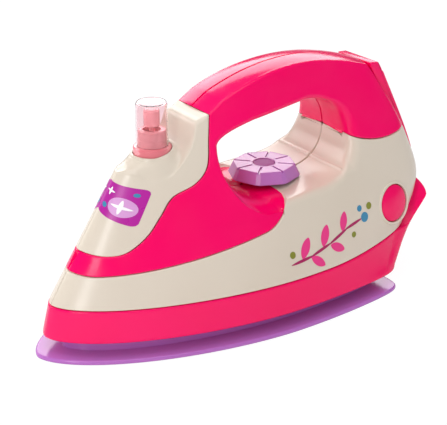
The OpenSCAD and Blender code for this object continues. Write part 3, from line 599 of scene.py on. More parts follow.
PRINT_TEAL = Finish("teal print", "3f8fb5", "3785aa", 0.3, 0.42)
PRINT_OLIVE = Finish("olive print", "8c8f2e", "838627", 0.3, 0.42)
PRINT_PLUM = Finish("plum print", "bb1fa0", "b01996", 0.25, 0.36)
PRINT_LILAC = Finish("lilac print", "dba0d6", "d596d0", 0.3, 0.42)
PRINT_WHITE = Finish("white print", "fbf6f8", "f6eff3", 0.3, 0.42)


@dataclass(frozen=True)
class BodyForm:
    """The formula surface that every moulding of the shell lies on."""

    skirt_bottom: float = 9.5
    skirt_top: float = 25.0
    half: float = 46.5
    nose_reach: float = 91.0
    rear_reach: float = 97.0
    widest_x: float = 24.0
    handle_top: float = 124.5
    crown_rear: float = 85.9
    back_round: float = 18.0
    parting: float = 0.1
    wall: float = 2.2
    leans: Pair = (0.26, 0.63)
    drafts: Pair = (-0.16, -0.326)
    slopes: Pair = (0.8, 0.635)
    nose_plan: Pair = (1.75, 0.6)
    rear_power: int = 14
    tapers: Pairs = (
        (0.076, 0.14), (0.2, 0.3), (0.35, 0.235), (0.48, 0.2), (0.64, 0.13), (0.95, 0.1),
    )
    squareness: Pairs = (
        (0.076, 14.0), (0.2, 6.0), (0.48, 5.0), (0.62, 8.0), (0.8, 24.0), (0.95, 40.0),
    )

    def kinked(self, z: Array, start: float, rates: Pair) -> Array:
        """A value that changes by one rate below the skirt's top and by another above it.

        Args:
            z: Height.
            start: The value at the skirt's foot.
            rates: Change for each millimetre of rise, below and above.

        Returns:
            The value at each height.
        """
        rate, upper_rate = rates
        low = start + (z - self.skirt_bottom) * rate
        waist = start + (self.skirt_top - self.skirt_bottom) * rate
        return np.where(z < self.skirt_top, low, waist + (z - self.skirt_top) * upper_rate)

    def nose_x(self, z: Array) -> Array:
        """Front end at a height, by the nose's two leans."""
        return self.kinked(z, -self.nose_reach, self.leans)

    def half_at(self, z: Array) -> Array:
        """Greatest half width at a height, by the sides' two drafts."""
        return self.kinked(z, self.half, self.drafts)

    def rear_x(self, z: Array) -> Array:
        """Rear end at a height: the lesser of two lines, rounded where they meet.

        The rounding is (h + b - sqrt((h - b)^2 + r^2)) / 2 of the heel's line h and the back's b.

        Args:
            z: Height.

        Returns:
            X of the rear.
        """
        heel_slope, back_slope = self.slopes
        heel = self.rear_reach + (z - self.skirt_bottom) * heel_slope
        back = self.crown_rear + (self.handle_top - z) * back_slope
        return (heel + back - np.sqrt((heel - back) ** 2 + self.back_round**2)) / 2

    def plan(self, a: Array, taper: Array, square: Array) -> Array:
        """Share of the greatest half width at a station.

        It is (1 - (1 - a)^p)^q from nose to widest line, and (1 - taper e^2)(1 - e^r)^(1/square)
        from there to the rear, with e the share of the way.

        Args:
            a: Station: 0 at the nose, 1 at the widest line, 2 at the rear.
            taper: How much narrower the rear is.
            square: How square its corner is.

        Returns:
            The share.
        """
        full, blunt = self.nose_plan
        e = np.clip(a - 1.0, 0.0, 1.0)
        front = (1.0 - (1.0 - np.clip(a, 0.0, 1.0)) ** full) ** blunt
        rear = (1.0 - taper * e**2) * (1.0 - e**self.rear_power) ** (1.0 / square)
        return np.where(a < 1.0, front, rear)

    def level(self, a: Array, z: Array, depth: Array = 0.0) -> tuple[Array, Array]:
        """Place and half width of a level at a station.

        Args:
            a: Station: 0 at the nose, 1 at the widest line, 2 at the rear.
            z: Height.
            depth: How far inside the surface.

        Returns:
            X and half width.
        """
        a, z, depth = np.broadcast_arrays(*(np.asarray(v, float) for v in (a, z, depth)))
        x = np.where(
            a < 1.0,
            mix(self.nose_x(z) + depth, self.widest_x, np.clip(a, 0.0, 1.0)),
            mix(self.widest_x, self.rear_x(z) - depth, np.clip(a - 1.0, 0.0, 1.0)),
        )
        taper = eased_lookup(z / self.handle_top, self.tapers)
        square = eased_lookup(z / self.handle_top, self.squareness)
        half = (self.half_at(z) - depth) * self.plan(a, taper, square)
        return x, np.maximum(self.parting, half)

    def station(self, p: Array) -> Array:
        """Stations of points.

        Args:
            p: Points by x and z.

        Returns:
            The station of each point.
        """
        x, z = p[..., 0], p[..., 1]
        nose, rear = self.nose_x(z), self.rear_x(z)
        return np.where(
            x < self.widest_x,
            (x - nose) / (self.widest_x - nose),
            1.0 + (x - self.widest_x) / (rear - self.widest_x),
        )

    def side(self, p: Array, depth: Array = 0.0) -> Array:
        """Points of the left side at x and z, set in by a depth."""
        x, half = self.level(self.station(p), p[..., 1], depth)
        return spots(x, -half, p[..., 1])

    def half_of(self, p: Array, depth: Array = 0.0) -> Array:
        """Half width at points given by x and z."""
        return self.level(self.station(p), p[..., 1], depth)[1]


FORM = BodyForm()


def stations(nose: Pair, rear: Pair) -> Array:
    """Stations to the widest line and on to the rear, by counts and powers that crowd them."""
    front = shares(nose[0]) ** nose[1]
    return np.concatenate([front, 2.0 - (1.0 - shares(rear[0], False)) ** rear[1]])


@dataclass(frozen=True)
class BodyLines:
    """The lines that part the mouldings, each a curve of x and z on the body's side."""

    floor: float = 61.5
    ceiling: float = 105.6
    front: float = -4.5
    length: float = 76.5
    lobe_x: float = 31.5
    widest_x: float = 23.5
    column_foot: float = 84.5
    column_sag: float = 76.0
    column_tip: float = 82.0
    corner_run: float = 27.0
    corner_rise: float = 31.0
    floor_rise: float = 0.096
    saddle_low: float = 39.6
    saddle_rise: float = 13.5
    saddle_power: float = 1.5
    tip: Pair = (0.1, 1.4)
    lobe: Triple = (0.88, 0.15, 8.0)
    brow_turn: Pair = (0.02, 0.816)
    brow_end: Pair = (0.281, 0.907)
    ceiling_end: float = 0.686
    rear_turn: float = 0.974
    rear_end: Pair = (0.999, 0.07)
    ramp_start: float = 0.712
    ramp_turn: Pair = (0.99, 0.085)
    sag_turn: float = 0.52
    bow_start: Pair = (1.2, 113.0)
    bow_turn: Pair = (45.0, 132.0)
    bow_drop: float = 7.5
    bow_tuck: float = 1.2
    nose_edge_knots: Pairs = (
        (-71.22, 50.0), (-64.03, 48.7), (-55.0, 50.1), (-45.0, 56.8), (-37.5, 65.1),
        (-30.4, 73.1), (-19.0, 77.9), (-12.0, 84.8), (-8.82, 97.52), (-6.5, 107.8),
    )
    scoop_knots: Pairs = (
        (-49.6, 84.3), (-43.6, 84.3), (-37.46, 83.57), (-32.3, 84.22), (-27.14, 85.99),
        (-21.98, 89.48), (-18.11, 93.85), (-15.53, 98.64), (-13.27, 104.25), (-9.73, 106.15),
        (-6.5, 107.8),
    )

    def opening_x(self, share: float) -> float:
        """X at a share of the hand opening's length."""
        return self.front + share * self.length

    def opening_point(self, spot: Pair) -> Array:
        """The point at a share of the opening's length and a share of its height."""
        return np.array([self.opening_x(spot[0]), mix(self.floor, self.ceiling, spot[1])])

    def floor_z(self, x: Array) -> Array:
        """Height of the opening's floor, level at first and then rising."""
        return self.floor + np.maximum(0.0, x - self.front - self.corner_run) * self.floor_rise

    def saddle_z(self, a: Array) -> Array:
        """Line between side panel and handle: a rising power curve, lifted at tip and lobe.

        Both lifts grow with the square of the share of their length.

        Args:
            a: Stations.

        Returns:
            Height of the line.
        """
        tip_reach, tip_lift = self.tip
        lobe_start, lobe_reach, lobe_lift = self.lobe
        lobe = np.clip((a - lobe_start) / lobe_reach, 0.0, 1.0)
        tip = np.clip(1.0 - a / tip_reach, 0.0, 1.0)
        rise = self.saddle_rise * np.minimum(a, 1.0) ** self.saddle_power
        return self.saddle_low + rise + tip_lift * tip**2 + lobe_lift * lobe**2

    def saddle(self, a: Array) -> Array:
        """Points of the saddle line at stations."""
        z = self.saddle_z(a)
        return spots(FORM.level(a, z)[0], z)

    def nose_edge(self, u: Array) -> Array:
        """Edge of the nose cover at knot numbers."""
        return through(np.array(self.nose_edge_knots), u)

    def scoop(self, u: Array) -> Array:
        """Scooped top of the nose cover at knot numbers."""
        return through(np.array(self.scoop_knots), u)

    def front_corner(self, t: Array) -> Array:
        """Quarter ellipse from the opening's front down to its floor.

        Args:
            t: Shares of the turn.

        Returns:
            Points.
        """
        turn = QUARTER * (1.0 - t)
        x = self.front + self.corner_run * (1.0 - np.sin(turn))
        return spots(x, self.floor + self.corner_rise * (1.0 - np.cos(turn)))

    def front_ceiling(self, t: Array) -> Array:
        """Curve from the opening's front up to its ceiling."""
        low = np.array([self.front, self.floor + self.corner_rise])
        return bend(low, self.opening_point(self.brow_turn), self.opening_point(self.brow_end), t)

    def ceiling_line(self, t: Array) -> Array:
        """Straight middle of the ceiling."""
        end = np.array([self.opening_x(self.ceiling_end), self.ceiling])
        return mix(self.opening_point(self.brow_end), end, t[:, None])

    def rear_ceiling(self, t: Array) -> Array:
        """Curve from the ceiling down to the rear column.

        Args:
            t: Shares of the curve.

        Returns:
            Points.
        """
        start = np.array([self.opening_x(self.ceiling_end), self.ceiling])
        turn = np.array([self.opening_x(self.rear_turn), self.ceiling])
        share, lift = self.rear_end
        end = np.array([self.opening_x(share), mix(self.column_foot, self.ceiling, lift)])
        return bend(start, turn, end, t)

    def ramp(self, t: Array) -> Array:
        """Curve from the floor up the front of the rear column.

        Args:
            t: Shares of the curve.

        Returns:
            Points.
        """
        x = self.opening_x(self.ramp_start)
        start = np.array([x, self.floor_z(np.array(x))])
        share, lift = self.ramp_turn
        turn = np.array([self.opening_x(share), mix(start[1], self.column_foot, lift)])
        return bend(start, turn, np.array([self.opening_x(1.0), self.column_foot]), t)

    def sag(self, t: Array) -> Array:
        """Sagging line across the rear column between panel and handle.

        Args:
            t: Shares of the curve.

        Returns:
            Points.
        """
        start = np.array([self.opening_x(1.0), self.column_foot])
        end = np.array([float(FORM.rear_x(np.array(self.column_tip))), self.column_tip])
        turn = np.array([mix(start[0], end[0], self.sag_turn), self.column_sag])
        return bend(start, turn, end, t)

    def bow(self, t: Array) -> Array:
        """Top of the grip, from behind the nose cover to the back.

        Args:
            t: Shares of the curve.

        Returns:
            Points.
        """
        end_z = FORM.handle_top - self.bow_drop
        end_x = float(FORM.rear_x(np.array(end_z))) + FORM.parting
        end = np.array([end_x, end_z - self.bow_tuck])
        return bend(np.array(self.bow_start), np.array(self.bow_turn), end, t)

    def back(self, z: Array) -> Array:
        """Rear line at heights."""
        return spots(FORM.rear_x(z), z)


LINES = BodyLines()
OUTLINE_STEPS = 60
SEAM_DEPTH = 1.5
SEAM_HALF = 0.36
SEAM_FADE = 0.1


def column_inset(p: Array, radius: Array) -> Array:
    """How far the side falls in near the rear of the hand opening.

    A quarter circle by the distance s to the opening's outline: r - sqrt(r^2 - (r - s)^2) where
    s is less than r.

    Args:
        p: Points by x and z.
        radius: Radius of the rounding at each point.

    Returns:
        The inset at each point.
    """
    t = shares(OUTLINE_STEPS)
    outline = np.concatenate([LINES.rear_ceiling(t), LINES.ramp(t)[::-1]])
    start, run = outline[:-1], np.diff(outline, axis=0)
    along = ((p[..., None, :] - start) * run).sum(-1) / (run**2).sum(-1)
    nearest = start + run * np.clip(along, 0.0, 1.0)[..., None]
    away = np.linalg.norm(p[..., None, :] - nearest, axis=-1).min(-1)
    short = radius - np.minimum(away, radius)
    return radius - np.sqrt(radius**2 - short**2)


def fallen(grid: Array, radius: Array, closed: Array, wall_end: int) -> Array:
    """Rows of the left side, rounded toward the rear of the hand opening.

    Along a wall that reaches the middle plane the fall grows in proportion from there to the
    wall's end.

    Args:
        grid: Rows of points.
        radius: Radius of the rounding for each row.
        closed: Whether a row has a wall to the middle plane.
        wall_end: Number of the column where such a wall ends.

    Returns:
        The rows with their new half widths.
    """
    fall = column_inset(grid[..., ::2], radius[:, None])
    half = -grid[..., 1] - FORM.parting
    end = np.maximum(half[:, wall_end][:, None], FORM.parting)
    share = np.where(closed[:, None], np.clip(half / end, 0.0, 1.0), 1.0)
    y = -np.maximum(half - fall * share, 0.0) - FORM.parting
    return spots(grid[..., 0], y, grid[..., 2])


def seam_fall(half: Array) -> Array:
    """Depth of the narrow slot that two halves leave along the middle plane, at half widths."""
    return SEAM_DEPTH * smooth((SEAM_HALF - (half - FORM.parting)) / SEAM_FADE)


@dataclass(frozen=True)
class Strip:
    """Rows of a moulding on the body's side, each from a lower to an upper line."""

    low: Array
    edge: Array
    top: Array
    closed_low: Array
    closed_top: Array
    round_low: Array
    round_top: Array
    rise: Array
    crowd: Array
    inset: Array

    LIP = 4.0
    ARC = 7
    RUN = 30
    SEAM = (0.0, 0.17, 0.23, 0.31, 0.6)
    FLAT = (0.1, 0.2, 0.34, 0.5, 0.66, 0.8, 0.92, 1.0)
    SEAM_SHARE = 0.02
    SEAM_LEAST = 0.3
    WALL_POWER = 6
    LEAN_FROM = 0.2
    LEAN_LIMIT = 1.5
    STEEP = 0.2
    BOTH_ENDS = 0.85
    INNER_ENDS = (0.04, 0.96)

    @property
    def wall_columns(self) -> int:
        """Points of a row's wall, from the middle plane to where its arc starts."""
        return len(self.SEAM) + len(self.FLAT)

    def corner(self, edge: Array, into: Array, radius: Array) -> tuple[Array, Array, Array]:
        """Rounded corner between a wall square to the middle plane and the leaning side.

        The arc turns by 90 degrees less the side's lean, so it meets both without a crease.

        Args:
            edge: Points of the edge.
            into: Directions from the edge into the side.
            radius: Radius of the arc for each row.

        Returns:
            Steps along `into` and half widths of the arc's points, and the half width where it
            begins.
        """
        near = FORM.half_of(edge + into * self.LEAN_FROM * radius[:, None])
        lean = FORM.half_of(edge + into * radius[:, None]) - near
        slope = lean / ((1.0 - self.LEAN_FROM) * radius)
        turn = QUARTER - np.arctan(np.clip(slope, -self.LEAN_LIMIT, self.LEAN_LIMIT))
        angle = turn[:, None] * shares(self.ARC)[None, :]
        step = radius[:, None] * (1.0 - np.cos(angle))
        start = FORM.half_of(edge + into * step[:, -1:]) - radius * np.sin(turn)
        start = np.maximum(start, 2 * FORM.parting)
        return step, start[:, None] + radius[:, None] * np.sin(angle), start

    def flat(self, p: Array, half: Array) -> Array:
        """Points at x and z, at a half width on the left."""
        return spots(p[..., 0], -np.maximum(FORM.parting, half), p[..., 1])

    def spread(self, start: Array) -> Array:
        """Half widths from the parting line, close beside it and then by shares.

        Args:
            start: Half width where each row's arc starts.

        Returns:
            Rows of half widths.
        """
        shared = mix(FORM.parting, start[:, None], np.array(self.FLAT)[None, :])
        steps = shares(len(self.SEAM) - 1)[None, :]
        most = self.SEAM_SHARE * start[:, None] * steps + self.SEAM_LEAST
        beside = FORM.parting + np.minimum(np.array(self.SEAM)[None, :], most)
        return np.concatenate([np.minimum(beside, shared[:, :1]), shared], 1)

    def end(
        self, base: Array, edge: Array, into: Array, radius: Array, closed: Array, rise: Array
    ) -> Array:
        """Points from the middle plane, or from the lip's root, out to the side surface.

        Args:
            base: End on the middle plane.
            edge: End on the side.
            into: Directions from the edge into the side.
            radius: Rounding of the edge.
            closed: Whether the wall reaches the middle plane.
            rise: Height of the crown at the middle plane.

        Returns:
            Rows of points: the wall or lip, then the arc.
        """
        step, arc_half, start = self.corner(edge, into, radius)
        half = self.spread(start)
        share = (half - FORM.parting) / np.maximum(start[:, None] - FORM.parting, FORM.parting)
        lift = rise[:, None] * (1.0 - share**2) - seam_fall(half)
        line = mix(base[:, None], edge[:, None], (share**self.WALL_POWER)[..., None])
        wall = self.flat(line - into[:, None] * lift[..., None], half)
        arc = self.flat(edge[:, None] + into[:, None] * step[:, 1:, None], arc_half[:, 1:])
        depth = mix(self.LIP, radius[:, None], share)
        lip = FORM.side(np.broadcast_to(edge[:, None], (*depth.shape, 2)), depth)
        angle = QUARTER * shares(self.ARC, False)[None, :]
        lip_arc = FORM.side(
            edge[:, None] + into[:, None] * (radius[:, None] * (1.0 - np.cos(angle)))[..., None],
            radius[:, None] * (1.0 - np.sin(angle)),
        )
        pick = closed[:, None, None]
        return np.concatenate([np.where(pick, wall, lip), np.where(pick, arc, lip_arc)], 1)

    def outer(self) -> Array:
        """Outer surface, from the lower wall over the side to the upper wall.

        Along the side the points are crowded toward the top by a power, and near the opening's
        rear toward both ends by a sine.

        Returns:
            Rows of points.
        """
        across = unit(self.top - self.edge)
        into_low = inward(self.edge, across)
        into_top = inward(self.top, -across)
        steep = (into_low * across).sum(-1, keepdims=True) < self.STEEP
        into_low = np.where(steep & ~self.closed_low[:, None], across, into_low)
        level = np.zeros(len(self.low))
        low = self.end(self.low, self.edge, into_low, self.round_low, self.closed_low, level)
        top = self.end(self.top, self.top, into_top, self.round_top, self.closed_top, self.rise)
        first, last = low[:, -1, ::2], top[:, -1, ::2]
        t = shares(self.RUN)[None, 1:-1]
        both = t - self.BOTH_ENDS * np.sin(2.0 * np.pi * t) / (2.0 * np.pi)
        one = 1.0 - (1.0 - t) ** self.crowd[:, None]
        t = mix(one, both, self.inset[:, None] / self.inset.max())
        run = FORM.side(mix(first[:, None], last[:, None], t[..., None]))
        return self.settled(np.concatenate([low, run, top[:, ::-1]], 1))

    def settled(self, grid: Array) -> Array:
        """Lets the points near the opening's rear fall in by the rounding there.

        Args:
            grid: Rows of points, changed in place.

        Returns:
            The same rows.
        """
        held = self.inset > 0
        closed = self.closed_low[held]
        grid[held] = fallen(grid[held], self.inset[held], closed, self.wall_columns - 1)
        return grid

    def inner_end(self, p: Array, base: Array, closed: Array) -> Array:
        """Points of the inner surface from the middle plane, or the lip's root, to the side.

        Args:
            p: Ends on the side.
            base: Ends on the middle plane.
            closed: Whether the wall reaches the middle plane.

        Returns:
            Rows of points.
        """
        share = shares(self.wall_columns - 1)[None, :]
        half = mix(FORM.parting, FORM.half_of(p, FORM.wall)[:, None], share)
        line = mix(base[:, None], p[:, None], (share**self.WALL_POWER)[..., None])
        wall = self.flat(line, half)
        depth = mix(self.LIP, FORM.wall, share)
        lip = FORM.side(np.broadcast_to(p[:, None], (*half.shape, 2)), depth)
        return np.where(closed[:, None, None], wall, lip)

    def inner(self) -> Array:
        """Inner surface, a wall's thickness inside the outer one and with as many points.

        Returns:
            Rows of points.
        """
        across = unit(self.top - self.edge)
        low, top = self.edge + across * FORM.wall, self.top - across * FORM.wall
        count = 2 * self.ARC + self.RUN - 1
        one = 1.0 - (1.0 - shares(count + 1)[1:-1][None]) ** self.crowd[:, None]
        t = mix(*self.INNER_ENDS, one)
        run = FORM.side(mix(low[:, None], top[:, None], t[..., None]), FORM.wall)
        first = self.inner_end(low, self.low + across * FORM.wall, self.closed_low)
        last = self.inner_end(top, top, self.closed_top)
        return self.settled(np.concatenate([first, run, last[:, ::-1]], 1))

    def mesh(self, name: str, side: Side) -> Object:
        """Makes the moulding of one side."""
        points, quads = shell(self.outer(), self.inner())
        return build_mesh(name, points * side.turn, quads)


EDGE_END = len(LINES.nose_edge_knots) - 1.0
SCOOP_END = len(LINES.scoop_knots) - 1.0


@dataclass(frozen=True)
class BatteryBay:
    """Frame along the sloping back: x outward, z up the slope."""

    x: float = 105.138
    z: float = 92.0
    angle: float = math.radians(30.9283)
    slot_half: float = 12.2
    slot_span: Pair = (-25.75, 22.35)
    slot_reach: Pair = (14.9, 8.0)
    door_low: float = -33.0
    door_high: float = 28.0
    door_width: float = 26.0
    door_height: float = 5.4
    door_foot: float = 2.6
    screw_z: float = -29.0

    def place(self, points: Array) -> Array:
        """Brings points of the bay's frame into the part's frame.

        Args:
            points: Points by the way out, across and up the slope.

        Returns:
            The points in the part's frame.
        """
        out, across, up = np.moveaxis(np.asarray(points, float), -1, 0)
        c, s = math.cos(self.angle), math.sin(self.angle)
        return spots(self.x + out * c - up * s, across, self.z + out * s + up * c)

    def block(self, low: Sequence[float], high: Sequence[float]) -> Shape:
        """A block between two corners of the bay's frame."""
        points, quads = block(low, high)
        return self.place(points), quads

    def slot(self) -> Shape:
        """The slot that is cut out of the shells."""
        (low, high), (inside, outside) = self.slot_span, self.slot_reach
        return self.block((-inside, -self.slot_half, low), (outside, self.slot_half, high))

    def seat(self, t: Array) -> Array:
        """How far the back surface stands out of the bay's plane.

        Args:
            t: Places up the slope.

        Returns:
            The distance out at each place.
        """
        c, s = math.cos(self.angle), math.sin(self.angle)
        z = self.z + t * c
        return (FORM.rear_x(z) - self.x) * c + (z - self.z) * s


BAY = BatteryBay()


@dataclass(frozen=True)
class Rows:
    """Ends of some rows of a strip, as x and z: below on the middle plane and the side, above."""

    low: Array
    edge: Array
    top: Array


@dataclass(frozen=True)
class HandleGrip:
    """The two pink halves: saddle over the nose, finger well, grip and rear column.

    Each blend is a start and a length. The counts are rows of saddle, floor, corner, brow, wedge,
    straight ceiling, rear ceiling and back.
    """

    groove: float = 0.4
    meet: float = 0.995
    meet_knot: float = 2.95
    well_knot: float = 3.12
    column_knot: float = 8.0
    well_flare: float = 4.3
    well_x: float = 22.3
    brow_share: float = 0.4
    wedge_start: float = 0.05
    bow_share: float = 0.55
    sag_start: float = 0.04
    back_starts: Pair = (0.1, 0.12)
    back_tail: float = 1.8
    lip_round: float = 0.7
    grip_round: float = 2.2
    rear_round: float = 0.6
    under_round: float = 2.0
    under_blend: Pair = (0.45, 0.55)
    rear_blend: Pair = (0.5, 0.5)
    column_round: float = 6.0
    crown: float = 1.2
    saddle_power: float = 1.4
    crowd_from: int = 40
    crowd_gain: float = 1.2
    counts: tuple[int, ...] = (70, 9, 54, 12, 12, 30, 44, 50)

    def saddle(self) -> Rows:
        """Rows from the nose's tip back to the lobe."""
        t = shares(self.counts[0]) ** self.saddle_power
        line = LINES.saddle(self.meet * t)
        return Rows(line, line, LINES.nose_edge(self.meet_knot * t))

    def column(self, meet: Array) -> Rows:
        """Rows over the lobe, round the finger well and up the front column.

        The well's edge stands off the ellipse of the opening's corner, square to it, by a flare
        that fades with 1 - u^2.

        Args:
            meet: The point where the saddle ends.

        Returns:
            The rows.
        """
        _, floor_rows, corner_rows, brow_rows = self.counts[:4]
        t = shares(floor_rows)
        u, v = shares(corner_rows, False), shares(brow_rows, False)
        start = np.array([[LINES.lobe_x, LINES.floor_z(LINES.lobe_x)]])
        floor = mix(start, LINES.front_corner(np.ones(1)), t[:, None])
        foot = np.array([self.well_x, LINES.floor - self.well_flare])
        floor_edge = mix(meet, foot, t[:, None])
        turn = QUARTER * u
        x, z = -np.sin(turn) / LINES.corner_run, -np.cos(turn) / LINES.corner_rise
        away = unit(spots(x, z))
        corner = LINES.front_corner(1.0 - u)
        corner_edge = corner + away * (self.well_flare * (1.0 - u**2))[:, None]
        brow = LINES.front_ceiling(self.brow_share * v)
        knots = np.concatenate([
            mix(self.meet_knot, self.well_knot, t),
            mix(self.well_knot, self.column_knot, u),
            self.column_knot + v,
        ])
        return Rows(
            np.concatenate([floor, corner, brow]),
            np.concatenate([floor_edge, corner_edge, brow]),
            LINES.nose_edge(knots),
        )

    def grip(self) -> Rows:
        """Rows of the wedge behind the nose cover and along the grip to its rear.

        Returns:
            The rows.
        """
        _, line_rows, rear_rows = self.counts[4:7]
        s = shares(self.counts[4])
        t, w = shares(line_rows, False), shares(rear_rows, False)
        wedge = LINES.front_ceiling(mix(self.brow_share, 1.0, mix(self.wedge_start, 1.0, s)))
        nose_end = LINES.nose_edge(np.array([EDGE_END]))
        low = np.concatenate([wedge, LINES.ceiling_line(t), LINES.rear_ceiling(w)])
        top = np.concatenate([
            mix(nose_end, LINES.bow(np.zeros(1)), s[:, None]),
            LINES.bow(self.bow_share * t),
            LINES.bow(mix(self.bow_share, 1.0, w)),
        ])
        return Rows(low, low, top)

    def back(self) -> Rows:
        """Rows across the rear column and down the back.

        Returns:
            The rows.
        """
        t = shares(self.counts[7])
        first, second = self.back_starts
        bow_end = LINES.bow(np.ones(1))[0, 1]
        low = np.concatenate([
            LINES.sag(np.zeros(1)) + np.array([0.0, self.groove]),
            LINES.sag(mix(self.sag_start, 1.0, t)),
        ])
        top = LINES.back(np.concatenate([
            [mix(bow_end, LINES.column_tip, first)],
            mix(bow_end, LINES.column_tip + self.back_tail, mix(second, 1.0, t)),
        ]))
        return Rows(low, low, top)

    def strip(self) -> Strip:
        """Joins the rows from the nose's tip over the saddle, well and grip and down the back.

        Returns:
            The strip of one half.
        """
        saddle, grip, back = self.saddle(), self.grip(), self.back()
        column = self.column(saddle.low[-1] + np.array([0.0, self.groove]))
        stretches = (saddle, column, grip, back)
        edge = np.concatenate([rows.edge for rows in stretches])
        top = np.concatenate([rows.top for rows in stretches])
        front, well, along, rear = (len(rows.low) for rows in stretches)
        spread = partial(np.repeat, repeats=[front, well, along, 1, rear - 2, 1])
        gap = spread([self.groove, self.groove, 0.0, 0.0, 0.0, 0.0])
        u, w = shares(self.counts[2], False), shares(self.counts[6], False)
        under_from, under_span = self.under_blend
        rear_from, rear_span = self.rear_blend
        floor_rows, brow_rows = self.counts[1] + 1, self.counts[3]
        along_share = (np.arange(along) - self.crowd_from) / (along - self.crowd_from - 1)
        crowding = 1.0 + self.crowd_gain * np.clip(along_share, 0.0, 1.0)
        return Strip(
            low=np.concatenate([rows.low for rows in stretches]),
            edge=edge,
            top=top - unit(top - edge) * gap[:, None],
            closed_low=spread([False, True, True, True, False, False]),
            closed_top=spread([False, False, True, True, True, False]),
            round_low=np.concatenate([
                np.full(front + floor_rows, self.lip_round),
                mix(self.lip_round, self.under_round, smooth((u - under_from) / under_span)),
                np.full(brow_rows + along - len(w), self.under_round),
                mix(self.under_round, self.lip_round, smooth(w)),
                np.full(rear, self.lip_round),
            ]),
            round_top=np.concatenate([
                np.full(front + well, self.lip_round),
                np.full(along - len(w), self.grip_round),
                mix(self.grip_round, self.rear_round, smooth((w - rear_from) / rear_span)),
                np.full(rear, self.rear_round),
            ]),
            rise=spread([0.0, 0.0, self.crown, 0.0, 0.0, 0.0]),
            crowd=np.concatenate([
                np.ones(front + well), crowding, np.full(rear, 1.0 + self.crowd_gain),
            ]),
            inset=np.concatenate([
                np.zeros(front + well + along - len(w)),
                self.column_round * smooth(w),
                np.full(rear, self.column_round),
            ]),
        )

    def build(self) -> None:
        """Makes both halves, with the slot of the battery bay in their back."""
        strip = self.strip()
        for side in Side:
            half = strip.mesh(f"handle_half_{side.label}", side)
            cut(half, *BAY.slot())
            dress(half, PINK, Body.HOUSING, "pink_plastic", [f"handle_{side.label}"])


@dataclass(frozen=True)
class Skirt:
    """Lower band with a rounded lip, swept up behind into the flared heel and a tongue.

    Spans are a start and a length, as shares of the way from the widest line to the rear where
    nothing else is said.
    """

    heel_top: float = 50.0
    heel_flare: float = 7.0
    tongue_top: float = 62.5
    lip: float = 1.6
    top_round: float = 0.6
    slow_rise: float = 5.0
    slow_span: Pair = (0.25, 0.665)
    heel_span: Pair = (0.915, 0.068)
    tongue_span: Pair = (0.992, 0.0046)
    flare_rise: Pair = (12.0, 31.0)
    flare_drop: Pair = (42.0, 8.0)
    drop_power: float = 1.6
    tongue_out: float = 1.2
    flare_span: Pair = (1.84, 0.13)
    spread: float = 0.2
    nose_rows: tuple[int, int] = (70, 2)
    rear_rows: tuple[int, int] = (150, 4)
    steps: tuple[int, int, int] = (8, 26, 18)

    def along(self, value: Array, span: Pair) -> Array:
        """Share of a span at values."""
        return (value - span[0]) / span[1]

    def edge(self, a: Array) -> Array:
        """Height of the upper edge: a slow rise, the heel's turn, then the tongue.

        Args:
            a: Stations.

        Returns:
            The heights.
        """
        e = np.clip(a - 1.0, 0.0, 1.0)
        slow = np.clip(self.along(e, self.slow_span), 0.0, 1.0)
        turn = self.heel_top - FORM.skirt_top - self.slow_rise
        return (
            FORM.skirt_top + self.slow_rise * slow**2
            + turn * smooth(self.along(e, self.heel_span))
            + (self.tongue_top - self.heel_top) * smooth(self.along(e, self.tongue_span))
        )

    def point(
        self, a: Array, z: Array, depth: Array, side: Side, flared: bool = True
    ) -> Array:
        """Points of the band: the body's surface, moved back and spread by the heel's flare.

        Args:
            a: Stations.
            z: Heights.
            depth: How far inside the surface.
            side: The side.
            flared: Whether the heel's flare is added.

        Returns:
            The points.
        """
        rise = np.clip(self.along(z, self.flare_rise), 0.0, 1.0)
        drop = np.clip(self.along(z, self.flare_drop), 0.0, 1.0) ** self.drop_power
        out = mix(self.heel_flare * rise, self.tongue_out, drop)
        flare = out * smooth(self.along(a, self.flare_span)) if flared else np.zeros_like(z)
        x, half = FORM.level(a, z, depth)
        wider = 1.0 + self.spread * flare / self.heel_flare
        return spots(x + flare, side.value * half * wider, z)

    def build(self) -> None:
        """Makes the band as a closed section carried round the body."""
        arc_steps, run_steps, lining_steps = self.steps
        a = stations(self.nose_rows, self.rear_rows)[:, None]
        top = self.edge(a)
        arc = QUARTER * shares(arc_steps)[None, :]
        rows = (len(a), arc.shape[1])
        low_z = FORM.skirt_bottom + self.lip * (1.0 - np.cos(arc))
        low_depth = self.lip * (1.0 - np.sin(arc))
        run = mix(FORM.skirt_bottom + self.lip, top - self.top_round, shares(run_steps)[None, 1:-1])
        top_z = top - self.top_round * (1.0 - np.cos(arc[:, ::-1]))
        top_depth = self.top_round * (1.0 - np.sin(arc[:, ::-1]))
        z = np.concatenate([np.broadcast_to(low_z, rows), run, top_z], 1)
        depth = np.concatenate([
            np.broadcast_to(low_depth, rows), np.zeros_like(run), np.broadcast_to(top_depth, rows),
        ], 1)
        inner_z = mix(top, FORM.skirt_bottom, shares(lining_steps)[None, :])
        left, right = (
            np.concatenate([
                self.point(a, z, depth, side),
                self.point(a, inner_z, FORM.wall, side, False),
            ], 1)
            for side in Side
        )
        ring = np.concatenate([left, right[::-1]])
        band = build_mesh("skirt_band", *surface(ring, True, True))
        dress(band, PINK, Body.HOUSING, "pink_plastic", ["skirt"])


@dataclass(frozen=True)
class PanelRows:
    """Rows of a side panel."""

    a: Array
    top: Array
    low: Array
    closed: Array
    shift: Array
    up_ramp: Array


